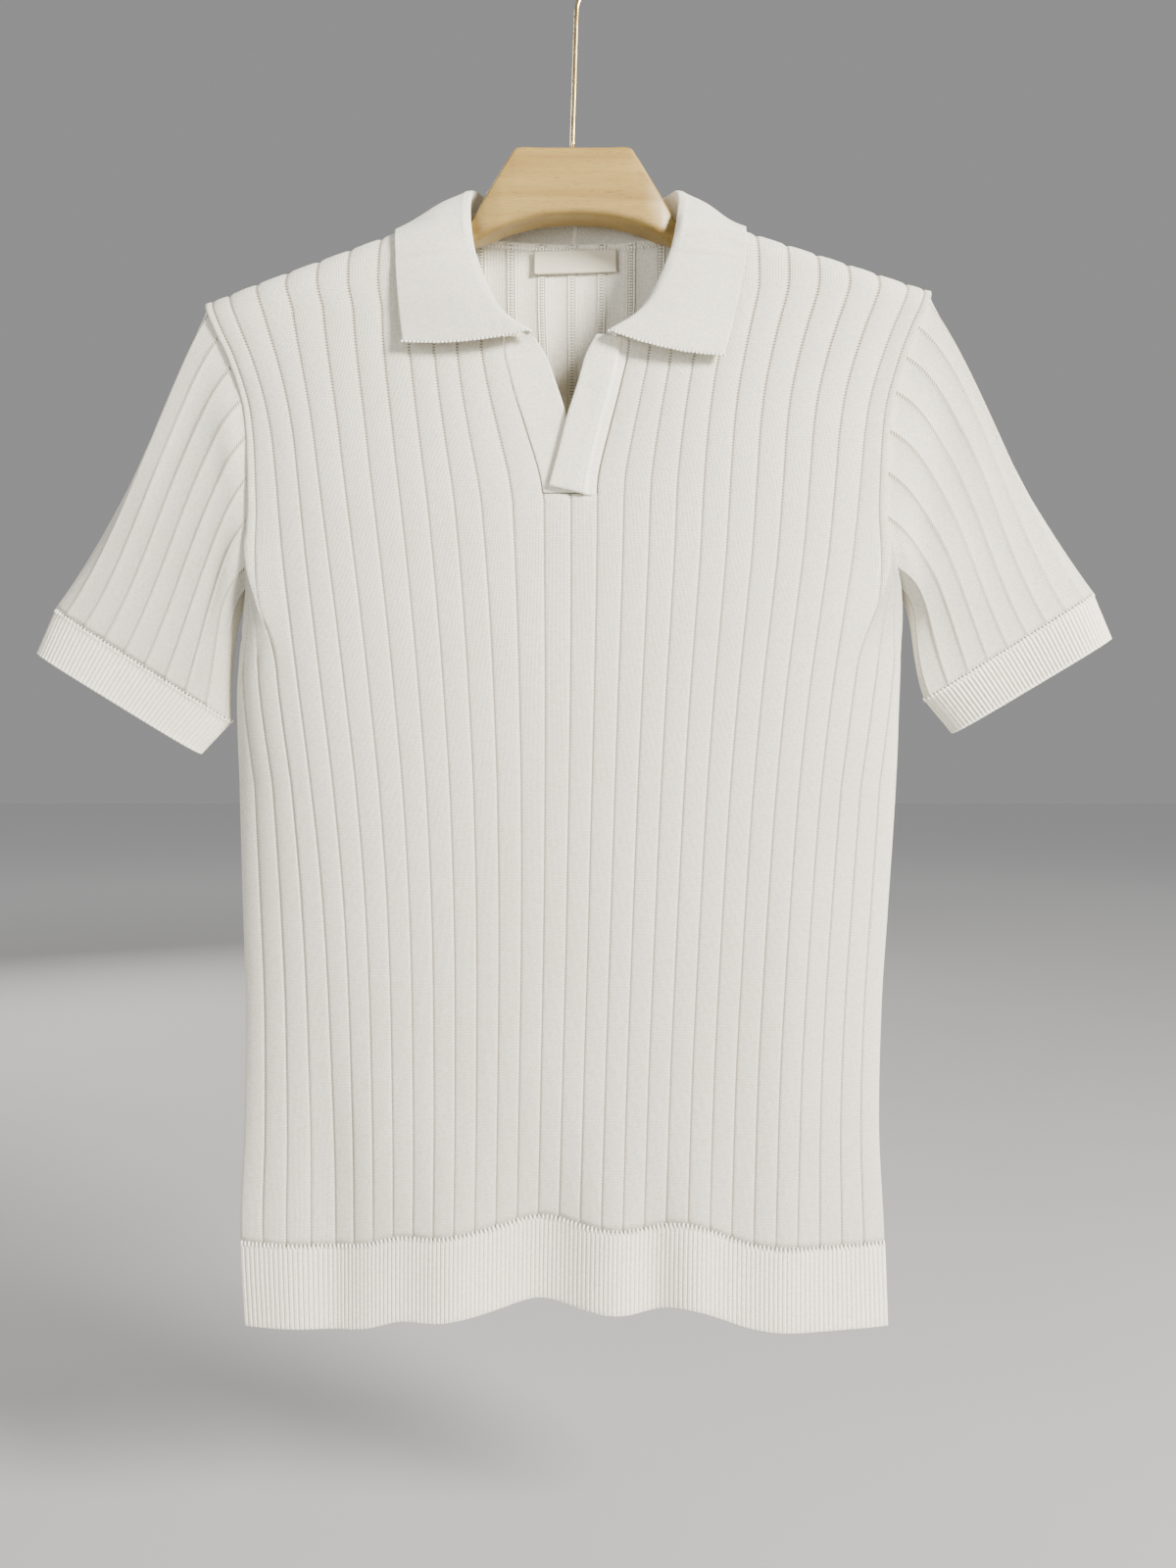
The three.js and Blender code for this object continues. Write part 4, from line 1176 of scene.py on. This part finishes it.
# %% Stitch tree
def stitch_tree(material):
    tree = bpy.data.node_groups.new("linking stitches", "GeometryNodeTree")
    face = tree.interface
    face.new_socket("Geometry", in_out="INPUT", socket_type="NodeSocketGeometry")
    sizes = {"Spacing": 0.0026, "Along": 0.0011, "Across": 0.0030, "Thickness": 0.0009, "Unevenness": 0.12}
    for name, value in sizes.items():
        socket = face.new_socket(name, in_out="INPUT", socket_type="NodeSocketFloat")
        socket.default_value = value
    seed = face.new_socket("Seed", in_out="INPUT", socket_type="NodeSocketInt")
    seed.default_value = 4
    face.new_socket("Geometry", in_out="OUTPUT", socket_type="NodeSocketGeometry")
    nodes, links = tree.nodes, tree.links
    given = nodes.new("NodeGroupInput")
    result = nodes.new("NodeGroupOutput")
    curve = nodes.new("GeometryNodeMeshToCurve")
    even = nodes.new("GeometryNodeResampleCurve")
    even.mode = "LENGTH"
    ball = nodes.new("GeometryNodeMeshIcoSphere")
    ball.inputs["Radius"].default_value = 0.5
    ball.inputs["Subdivisions"].default_value = 2
    tangent = nodes.new("GeometryNodeInputTangent")
    turn = nodes.new("FunctionNodeAlignRotationToVector")
    turn.axis = "X"
    turn.pivot_axis = "Y"
    size = nodes.new("ShaderNodeCombineXYZ")
    uneven = nodes.new("FunctionNodeRandomValue")
    low = nodes.new("ShaderNodeMath")
    low.operation = "SUBTRACT"
    low.inputs[0].default_value = 1
    high = nodes.new("ShaderNodeMath")
    high.operation = "ADD"
    high.inputs[0].default_value = 1
    scale = nodes.new("ShaderNodeVectorMath")
    scale.operation = "SCALE"
    place = nodes.new("GeometryNodeInstanceOnPoints")
    real = nodes.new("GeometryNodeRealizeInstances")
    shade = nodes.new("GeometryNodeSetShadeSmooth")
    finish = nodes.new("GeometryNodeSetMaterial")
    finish.inputs["Material"].default_value = material
    links.new(given.outputs["Geometry"], curve.inputs["Mesh"])
    links.new(curve.outputs["Curve"], even.inputs["Curve"])
    links.new(given.outputs["Spacing"], even.inputs["Length"])
    links.new(even.outputs["Curve"], place.inputs["Points"])
    links.new(ball.outputs["Mesh"], place.inputs["Instance"])
    links.new(tangent.outputs["Tangent"], turn.inputs["Vector"])
    links.new(turn.outputs["Rotation"], place.inputs["Rotation"])
    links.new(given.outputs["Along"], size.inputs["X"])
    links.new(given.outputs["Thickness"], size.inputs["Y"])
    links.new(given.outputs["Across"], size.inputs["Z"])
    links.new(given.outputs["Unevenness"], low.inputs[1])
    links.new(given.outputs["Unevenness"], high.inputs[1])
    links.new(low.outputs[0], uneven.inputs[2])
    links.new(high.outputs[0], uneven.inputs[3])
    links.new(given.outputs["Seed"], uneven.inputs["Seed"])
    links.new(size.outputs["Vector"], scale.inputs[0])
    links.new(uneven.outputs[1], scale.inputs["Scale"])
    links.new(scale.outputs["Vector"], place.inputs["Scale"])
    links.new(place.outputs["Instances"], real.inputs["Geometry"])
    links.new(real.outputs["Geometry"], shade.inputs["Geometry"])
    links.new(shade.outputs["Geometry"], finish.inputs["Geometry"])
    links.new(finish.outputs["Geometry"], result.inputs["Geometry"])
    print("stitch tree nodes:", len(nodes))
    return tree


# %% Stitch row
def stitch_row(name, tree, paths, sizes):
    """One object of stitches along all the given seam lines."""
    points, edges = [], []
    for path in paths:
        start = len(points)
        points.extend((np.asarray(path) * MM).tolist())
        edges.extend((start + i, start + i + 1) for i in range(len(path) - 1))
    mesh = bpy.data.meshes.new(name + "_path")
    mesh.from_pydata(points, edges, [])
    guide = bpy.data.objects.new(name + "_path", mesh)
    bpy.context.scene.collection.objects.link(guide)
    modifier = guide.modifiers.new("stitches", "NODES")
    modifier.node_group = tree
    for item in tree.interface.items_tree:
        if item.item_type == "SOCKET" and item.in_out == "INPUT" and item.name in sizes:
            modifier[item.identifier] = sizes[item.name]
    depsgraph = bpy.context.evaluated_depsgraph_get()
    made = bpy.data.meshes.new_from_object(guide.evaluated_get(depsgraph))
    guide.modifiers.clear()
    bpy.data.objects.remove(guide)
    piece = bpy.data.objects.new(name, made)
    made.name = name
    bpy.context.scene.collection.objects.link(piece)
    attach(piece, BODY)
    print(name, len(made.polygons), "faces")
    return piece


# %% [markdown]
# Node helper
#
# The patterns below are sums of simple waves over the cloth's own map: ribs across, centimetres
# along. A small helper adds one node and joins its inputs, so each pattern reads as a formula.


# %% Node helper
class Pattern:
    """A material with short ways to add nodes."""

    def __init__(self, name, color, roughness):
        self.material = bpy.data.materials.new(name)
        self.material.use_nodes = True
        self.material.diffuse_color = (*color, 1)
        self.tree = self.material.node_tree
        self.tree.nodes.clear()
        output = self.tree.nodes.new("ShaderNodeOutputMaterial")
        self.shader = self.tree.nodes.new("ShaderNodeBsdfPrincipled")
        self.shader.inputs["Base Color"].default_value = (*color, 1)
        self.shader.inputs["Roughness"].default_value = roughness
        self.tree.links.new(self.shader.outputs[0], output.inputs[0])

    def node(self, kind, **settings):
        made = self.tree.nodes.new(kind)
        for name, value in settings.items():
            setattr(made, name, value)
        return made

    def put(self, socket, value):
        if hasattr(value, "links"):
            self.tree.links.new(value, socket)
        else:
            socket.default_value = value

    def math(self, operation, *values):
        made = self.node("ShaderNodeMath", operation=operation)
        for socket, value in zip(made.inputs, values):
            self.put(socket, value)
        return made.outputs[0]

    def span(self, value, low, high, to_low=0.0, to_high=1.0, soft=True):
        made = self.node("ShaderNodeMapRange", interpolation_type="SMOOTHSTEP" if soft else "LINEAR")
        for socket, given in zip(made.inputs, (value, low, high, to_low, to_high)):
            self.put(socket, given)
        return made.outputs[0]

    def blend(self, share, first, second):
        made = self.node("ShaderNodeMix", data_type="RGBA")
        self.put(made.inputs[0], share)
        for socket, value in ((made.inputs[6], first), (made.inputs[7], second)):
            self.put(socket, (*value, 1) if isinstance(value, tuple) else value)
        return made.outputs[2]

    def noise(self, place, scale, detail=2.0, roughness=0.5):
        made = self.node("ShaderNodeTexNoise")
        self.put(made.inputs["Vector"], place)
        made.inputs["Scale"].default_value = scale
        made.inputs["Detail"].default_value = detail
        made.inputs["Roughness"].default_value = roughness
        return made.outputs["Fac"]

    def stretched(self, place, scale):
        made = self.node("ShaderNodeMapping")
        self.put(made.inputs["Vector"], place)
        made.inputs["Scale"].default_value = scale
        return made.outputs[0]

    def bump(self, height, strength, distance):
        made = self.node("ShaderNodeBump")
        made.inputs["Strength"].default_value = strength
        made.inputs["Distance"].default_value = distance
        self.put(made.inputs["Height"], height)
        self.tree.links.new(made.outputs[0], self.shader.inputs["Normal"])

    def object_place(self):
        return self.node("ShaderNodeTexCoord").outputs["Object"]

    def cloth_place(self):
        """Ribs across and centimetres along."""
        parts = self.node("ShaderNodeSeparateXYZ")
        self.tree.links.new(self.node("ShaderNodeUVMap", uv_map="cloth").outputs[0], parts.inputs[0])
        return parts.outputs[0], parts.outputs[1]

    def from_whole(self, value):
        """Distance to the nearest whole number, 0 at it and 0.5 halfway."""
        back = self.math("ABSOLUTE", self.math("SUBTRACT", self.math("FRACT", value), 0.5))
        return self.math("SUBTRACT", 0.5, back)


print("pattern steps:", [name for name in vars(Pattern) if not name.startswith("_")])

# %% [markdown]
# Knit
#
# Cotton knit is soft and matt with a faint halo, so it has sheen and no gloss. Each wale is a
# column of V-shaped loops: two slanting legs with a valley between, painted darker as shade. The
# loops are 0.9 mm tall, so they are a fine relief, and the wide ribs and folds are real shape.

# %% Knit colors
KNIT = (0.930, 0.895, 0.765)
# KNIT_SHADE is the painted shade colour for grooves, stitch valleys and rib valleys; the random yarn and
# cloud unevenness also mixes towards it
KNIT_SHADE = (0.610, 0.545, 0.410)
# painted shade seen through the holes and ladders of the knit
KNIT_GAP_SHADE = (0.230, 0.195, 0.140)
COURSES = 11.0
HOLES = 5.5
print("one course is", round(MM_IN_CM / COURSES, 2), "mm tall")


def knit_base(name):
    p = Pattern(name, KNIT, 0.92)
    p.shader.inputs["Sheen Weight"].default_value = 0.22
    p.shader.inputs["Sheen Roughness"].default_value = 0.45
    p.shader.inputs["Specular IOR Level"].default_value = 0.22
    return p


def loops(p, across, along, wales):
    """Relief of V-shaped loops, 0 to 1."""
    wale = p.math("FRACT", p.math("MULTIPLY", across, wales))
    off = p.math("MULTIPLY", p.math("ABSOLUTE", p.math("SUBTRACT", wale, 0.5)), 2.0)
    legs = p.math("SINE", p.math("MULTIPLY", off, math.pi))
    phase = p.math("ADD", p.math("MULTIPLY", along, COURSES), p.math("MULTIPLY", off, -0.8))
    row = p.math("SINE", p.math("MULTIPLY", phase, 2 * math.pi))
    body = p.math("ADD", 0.65, p.math("MULTIPLY", row, 0.35))
    return p.math("MULTIPLY", legs, body)


def tired(p, color):
    """Small unevenness of the yarn and soft clouding of the cloth."""
    place = p.object_place()
    cloud = p.span(p.noise(place, 14.0, 3.0), 0.35, 0.7)
    yarn = p.span(p.noise(place, 650.0, 3.0, 0.65), 0.34, 0.70)
    color = p.blend(p.math("MULTIPLY", cloud, 0.13), color, KNIT_SHADE)
    return p.blend(p.math("MULTIPLY", yarn, 0.50), color, KNIT_SHADE)


# %% [markdown]
# Wide rib
#
# Between two ribs the purl loops lie deep and the yarn bridges across them, so the groove is a
# line of small ladder steps, painted darker as shade. Near the shoulders the weight opens it into
# tiny holes, painted dark as the shade seen through them.


# %% Wide rib knit
def wide_rib(name, groove_width, holes_from, holes_to):
    p = knit_base(name)
    across, along = p.cloth_place()
    off = p.from_whole(across)
    groove = p.span(off, 0.015, groove_width, 1.0, 0.0)
    step = p.from_whole(p.math("MULTIPLY", along, HOLES))
    hole_shade = p.span(step, 0.10, 0.30, 1.0, 0.0)
    open_share = p.span(along, holes_from, holes_to, 1.0, 0.30)
    hole_shade = p.math("MULTIPLY", hole_shade, p.math("MULTIPLY", open_share, p.span(off, 0.035, 0.090, 1.0, 0.0)))
    relief = loops(p, across, along, 10.0)
    color = tired(p, KNIT)
    # painted shade: the valleys between the loop legs are mixed towards the shade colour
    valley = p.span(relief, 0.05, 0.55, 1.0, 0.0)
    color = p.blend(p.math("MULTIPLY", valley, 0.40), color, KNIT_SHADE)
    # painted shade: the grooves are mixed towards the shade colour, more towards the shoulders and armholes
    shade = p.span(along, holes_from, holes_to, 0.62, 0.34)
    color = p.blend(p.math("MULTIPLY", groove, shade), color, KNIT_SHADE)
    # painted shade: the open holes are painted near black, as the shade seen through them
    color = p.blend(hole_shade, color, KNIT_GAP_SHADE)
    p.put(p.shader.inputs["Base Color"], color)
    height = p.math("SUBTRACT", relief, p.math("MULTIPLY", groove, 1.2))
    p.bump(height, 0.9, 0.0005)
    return p.material


def rib_inside():
    """The wrong side: each groove is a pair of raised cords with a ladder between them."""
    p = knit_base("rib_inside")
    across, along = p.cloth_place()
    off = p.from_whole(across)
    cord = p.span(p.math("ABSOLUTE", p.math("SUBTRACT", off, 0.11)), 0.0, 0.055, 1.0, 0.0)
    step = p.span(p.from_whole(p.math("MULTIPLY", along, HOLES)), 0.12, 0.34, 1.0, 0.0)
    ladder = p.math("MULTIPLY", step, p.span(off, 0.03, 0.075, 1.0, 0.0))
    edge = p.span(p.math("ABSOLUTE", p.math("SUBTRACT", off, 0.18)), 0.0, 0.04, 1.0, 0.0)
    relief = loops(p, across, along, 10.0)
    color = tired(p, KNIT)
    # painted shade in the stitch valleys, beside the raised cords and through the ladder gaps
    color = p.blend(p.math("MULTIPLY", p.span(relief, 0.05, 0.55, 1.0, 0.0), 0.30), color, KNIT_SHADE)
    color = p.blend(p.math("MULTIPLY", edge, 0.65), color, KNIT_SHADE)
    color = p.blend(p.math("MULTIPLY", ladder, 0.75), color, KNIT_GAP_SHADE)
    p.put(p.shader.inputs["Base Color"], color)
    height = p.math("ADD", p.math("MULTIPLY", relief, 0.4), p.math("MULTIPLY", cord, 1.6))
    p.bump(height, 0.9, 0.0006)
    return p.material


inside_knit = rib_inside()
panel_knit = wide_rib("wide_rib_knit", 0.070, 24.0, 40.0)
sleeve_knit = wide_rib("sleeve_rib_knit", 0.075, 1.0, 9.0)


# %% Fine rib and plain knit
def fine_rib_knit():
    p = knit_base("fine_rib_knit")
    across, along = p.cloth_place()
    valley = p.span(p.from_whole(across), 0.04, 0.26, 1.0, 0.0)
    relief = loops(p, p.math("ADD", across, 0.5), along, 1.0)
    color = tired(p, KNIT)
    # painted shade: the valleys between the small ribs are mixed towards the shade colour
    color = p.blend(p.math("MULTIPLY", valley, 0.48), color, KNIT_SHADE)
    p.put(p.shader.inputs["Base Color"], color)
    p.bump(relief, 0.6, 0.0004)
    return p.material


def plain_knit(name, wales):
    p = knit_base(name)
    across, along = p.cloth_place()
    relief = loops(p, across, along, wales)
    color = tired(p, KNIT)
    # painted shade: the valleys between the loop legs are mixed towards the shade colour
    valley = p.span(relief, 0.05, 0.55, 1.0, 0.0)
    color = p.blend(p.math("MULTIPLY", valley, 0.30), color, KNIT_SHADE)
    p.put(p.shader.inputs["Base Color"], color)
    p.bump(relief, 0.8, 0.0004)
    return p.material


fine_knit = fine_rib_knit()
collar_knit = plain_knit("collar_knit", 12.0)
placket_knit = plain_knit("placket_knit", 7.0)

# %% [markdown]
# Stitch yarn
#
# The linking yarn is the same cotton, painted whiter than the knit as a painted highlight, so the
# raised stitches read bright, with a twist that shows as a fine slant.


# %% Stitch yarn
def stitch_yarn():
    p = knit_base("stitch_yarn")
    place = p.stretched(p.object_place(), (900.0, 900.0, 1500.0))
    twist = p.noise(place, 1.0, 1.0)
    # painted highlight: the yarn is whiter than the knit so the raised stitches look lit
    p.put(p.shader.inputs["Base Color"], p.blend(p.span(twist, 0.35, 0.95), (0.95, 0.93, 0.86), KNIT_SHADE))
    p.bump(twist, 0.4, 0.0002)
    return p.material


yarn = stitch_yarn()
print("knit materials:", panel_knit.name, sleeve_knit.name, fine_knit.name, collar_knit.name, yarn.name)

# %% [markdown]
# Label, wood and brass
#
# The label is a satin-woven tape: fine threads across, with brighter floats. The board is pale
# beech with grain along its length and the short dark flecks of beech rays, under a satin lacquer.
# The hook is brushed brass, drawn round, so its marks run along the wire.


# %% Label tape
def label_weave():
    p = Pattern("label_weave", (0.80, 0.74, 0.60), 0.55)
    across, along = p.cloth_place()
    threads = p.math("SINE", p.math("MULTIPLY", across, 700.0))
    picks = p.math("SINE", p.math("MULTIPLY", along, 420.0))
    weave = p.math("MULTIPLY", threads, picks)
    shine = p.noise(p.object_place(), 300.0, 2.0)
    floats = p.math("MULTIPLY", p.span(weave, -1.0, 1.0), 0.35)
    share = p.math("ADD", floats, p.math("MULTIPLY", shine, 0.3))
    p.put(p.shader.inputs["Base Color"], p.blend(share, (0.74, 0.67, 0.51), (0.54, 0.47, 0.33)))
    p.shader.inputs["Sheen Weight"].default_value = 0.3
    p.bump(weave, 0.35, 0.0001)
    return p.material


# %% Beech
def beech():
    p = Pattern("beech", (0.60, 0.45, 0.26), 0.42)
    place = p.object_place()
    bands = p.noise(p.stretched(place, (6.0, 60.0, 130.0)), 1.0, 3.0, 0.55)
    fibres = p.noise(p.stretched(place, (40.0, 900.0, 1500.0)), 1.0, 2.0, 0.6)
    flecks = p.noise(p.stretched(place, (160.0, 1400.0, 1600.0)), 1.0, 1.0)
    fleck = p.span(flecks, 0.62, 0.72)
    color = p.blend(p.span(bands, 0.3, 0.7), (0.345, 0.232, 0.064), (0.255, 0.158, 0.039))
    color = p.blend(p.math("MULTIPLY", p.span(fibres, 0.35, 0.7), 0.30), color, (0.225, 0.134, 0.035))
    color = p.blend(p.math("MULTIPLY", fleck, 0.55), color, (0.145, 0.083, 0.025))
    p.put(p.shader.inputs["Base Color"], color)
    p.put(p.shader.inputs["Roughness"], p.span(fibres, 0.2, 0.8, 0.36, 0.52))
    p.shader.inputs["Coat Weight"].default_value = 0.10
    p.shader.inputs["Coat Roughness"].default_value = 0.35
    p.bump(fibres, 0.12, 0.0002)
    return p.material


# %% Brass
def brass():
    p = Pattern("brass", (0.66, 0.50, 0.24), 0.28)
    place = p.object_place()
    marks = p.noise(p.stretched(place, (2500.0, 2500.0, 120.0)), 1.0, 2.0)
    worn = p.noise(place, 60.0, 3.0)
    color = p.blend(p.span(worn, 0.35, 0.7), (0.70, 0.54, 0.27), (0.50, 0.36, 0.16))
    p.put(p.shader.inputs["Base Color"], color)
    p.put(p.shader.inputs["Roughness"], p.span(marks, 0.2, 0.8, 0.20, 0.38))
    p.shader.inputs["Metallic"].default_value = 1.0
    p.bump(marks, 0.1, 0.0001)
    return p.material


label_cloth = label_weave()
beech_wood = beech()
brass_wire = brass()
print("hard materials:", label_cloth.name, beech_wood.name, brass_wire.name)

# %% Put the materials on
MATERIAL_OF = {
    panel_knit: [front_cloth, back_cloth],
    sleeve_knit: [sleeve_left, sleeve_right],
    fine_knit: [hem_front, hem_back, cuff_left, cuff_right],
    collar_knit: [collar_leaf],
    placket_knit: [placket_over, placket_under],
    label_cloth: [label_tape],
    beech_wood: [beech_board],
    brass_wire: [brass_hook],
}
for material, pieces in MATERIAL_OF.items():
    for piece in pieces:
        piece.data.materials.clear()
        piece.data.materials.append(material)
for piece in (front_cloth, back_cloth, sleeve_left, sleeve_right):
    piece.data.materials.append(inside_knit)
    piece.modifiers["cloth thickness"].material_offset = 1
print("pieces with a material:", sum(len(pieces) for pieces in MATERIAL_OF.values()))

# %% [markdown]
# Seam rows
#
# The seam rows lie on the cloth where the bands meet the panels: along the hem on both sides,
# round each cuff and along the back neck. The same tree, with rounder sizes, makes the small loops
# at the collar's short ends.


# %% Seam rows
def hem_row(side):
    k = np.linspace(-SIDE_RIB + 0.1, SIDE_RIB - 0.1, 260)
    z = hem_height(side, k) - SEAM_GAP / 2
    return body_point(side, k, z) + body_normal(side, k, z) * 0.95


def cuff_row(hand):
    s = 1 if hand == "left" else -1
    turn = np.linspace(0, 1, 161)
    t = np.zeros_like(turn)
    point = lambda a, b: cuff_point(hand, a, b)
    return point(turn, t) + tube_normal(point, turn, t + 0.02, s) * 0.55


def neck_row():
    k = np.linspace(-3.6, 3.6, 90)
    z = top_height("back", k) - 2.6
    return body_point("back", k, z) - body_normal("back", k, z) * (WALL + 0.25)


def collar_end_row(mirror):
    place = np.array([0.0])
    points = spline_rows(collar_half(mirror, place), np.linspace(2.4, 7, 60))[:, 0]
    points[:, 2] -= 0.3
    points[:, 1] -= COLLAR_WALL / 2
    return points


stitches = stitch_tree(yarn)
hem_sizes = {"Seed": 4, "Spacing": 0.0025, "Along": 0.0013, "Across": 0.0034, "Thickness": 0.0012}
hem_stitches = stitch_row("hem_stitches", stitches, [hem_row("front"), hem_row("back")], hem_sizes)
neck_sizes = {"Seed": 2, "Spacing": 0.0021, "Across": 0.0018, "Thickness": 0.0007}
neck_stitches = stitch_row("neck_stitches", stitches, [neck_row()], neck_sizes)
end_sizes = {"Seed": 6, "Spacing": 0.0023, "Along": 0.0017, "Across": 0.0015, "Thickness": 0.0015}
end_rows = [collar_end_row(False), collar_end_row(True)]
collar_picots = stitch_row("collar_picots", stitches, end_rows, end_sizes)
cuff_sizes = {"Seed": 9, "Spacing": 0.0024}
cuff_stitches = stitch_row("cuff_stitches", stitches, [cuff_row("left"), cuff_row("right")], cuff_sizes)

# %% [markdown]
# Floor and light
#
# A hanging shirt is photographed against a plain pale room. A large soft light stands to the
# right and in front, so the ribs throw narrow shadows to the left, and a weak one fills the other
# side.

# %% Floor
FLOOR_HEIGHT = -1.02
FLOOR_REACH = 30.0
floor_mesh = bpy.data.meshes.new("floor")
corners = [(-1, -1), (1, -1), (1, 1), (-1, 1)]
floor_points = [(x * FLOOR_REACH, y * FLOOR_REACH, FLOOR_HEIGHT) for x, y in corners]
floor_mesh.from_pydata(floor_points, [], [(0, 1, 2, 3)])
floor = bpy.data.objects.new("floor", floor_mesh)
bpy.context.scene.collection.objects.link(floor)
pale = Pattern("pale_floor", (0.45, 0.445, 0.44), 0.8)
plaster = pale.noise(pale.object_place(), 3.0, 4.0)
reach = pale.node("ShaderNodeVectorMath", operation="LENGTH")
pale.put(reach.inputs[0], pale.object_place())
far = pale.span(reach.outputs["Value"], 1.4, 6.0)
near_floor = pale.blend(plaster, (0.33, 0.327, 0.323), (0.305, 0.302, 0.298))
pale.put(pale.shader.inputs["Base Color"], pale.blend(far, near_floor, (0.93, 0.93, 0.93)))
floor_mesh.materials.append(pale.material)
print("floor at:", FLOOR_HEIGHT)

# %% Light
WORLD_COLOR = (0.60, 0.60, 0.60, 1)
WORLD_STRENGTH = 0.50
LIGHTS = {
    "key": ((1.9, -1.45, 0.55), 0.8, 300.0, (1.0, 0.975, 0.93)),
    "fill": ((-1.7, -2.0, -0.2), 1.8, 46.0, (0.95, 0.975, 1.0)),
    "back": ((-1.2, 2.0, 0.7), 1.4, 70.0, (1.0, 0.985, 0.96)),
}
world = bpy.data.worlds.new("room")
world.use_nodes = True
world.node_tree.nodes["Background"].inputs["Color"].default_value = WORLD_COLOR
world.node_tree.nodes["Background"].inputs["Strength"].default_value = WORLD_STRENGTH
bpy.context.scene.world = world
AIM = Vector((0, 0, -0.5))
for name, (place, size, power, color) in LIGHTS.items():
    data = bpy.data.lights.new(name, "AREA")
    data.shape = "DISK"
    data.size = size
    data.energy = power
    data.color = color
    light = bpy.data.objects.new(name, data)
    bpy.context.scene.collection.objects.link(light)
    light.location = place
    light.rotation_euler = (AIM - Vector(place)).to_track_quat("-Z", "Y").to_euler()
print("lights:", list(LIGHTS))

# %% [markdown]
# Cloth sizes
#
# Each cloth piece was knitted or cut flat to a size before it was sewn and hung. The widths and
# lengths below are those of the flat pieces that show, in metres.

# %% Sheets
# piece, flat width, flat length, flat area, what it hangs from, small pieces on it
SHEETS = [
    (front_cloth, 0.425, 0.622, 0.228, "beech_board", []),
    (back_cloth, 0.425, 0.622, 0.240, "beech_board", []),
    (sleeve_left, 0.370, 0.215, 0.0345, "front_cloth", []),
    (sleeve_right, 0.370, 0.215, 0.0355, "front_cloth", []),
    (cuff_left, 0.262, 0.0287, 0.00750, "sleeve_left_cloth", [cuff_stitches]),
    (cuff_right, 0.262, 0.0287, 0.00750, "sleeve_right_cloth", []),
    (hem_front, 0.407, 0.050, 0.02030, "front_cloth", [hem_stitches]),
    (hem_back, 0.407, 0.050, 0.02030, "back_cloth", []),
    (collar_leaf, 0.385, 0.078, 0.03000, "back_cloth", [collar_picots, neck_stitches]),
    (placket_over, 0.026, 0.095, 0.00245, "front_cloth", []),
    (placket_under, 0.024, 0.095, 0.00226, "front_cloth", []),
    (label_tape, 0.051, 0.015, 0.00076, "back_cloth", []),
]
for piece, width, length, area, holder, small in SHEETS:
    print(piece.name, "shown over flat area:", round(piece["cut_area"] / area, 2))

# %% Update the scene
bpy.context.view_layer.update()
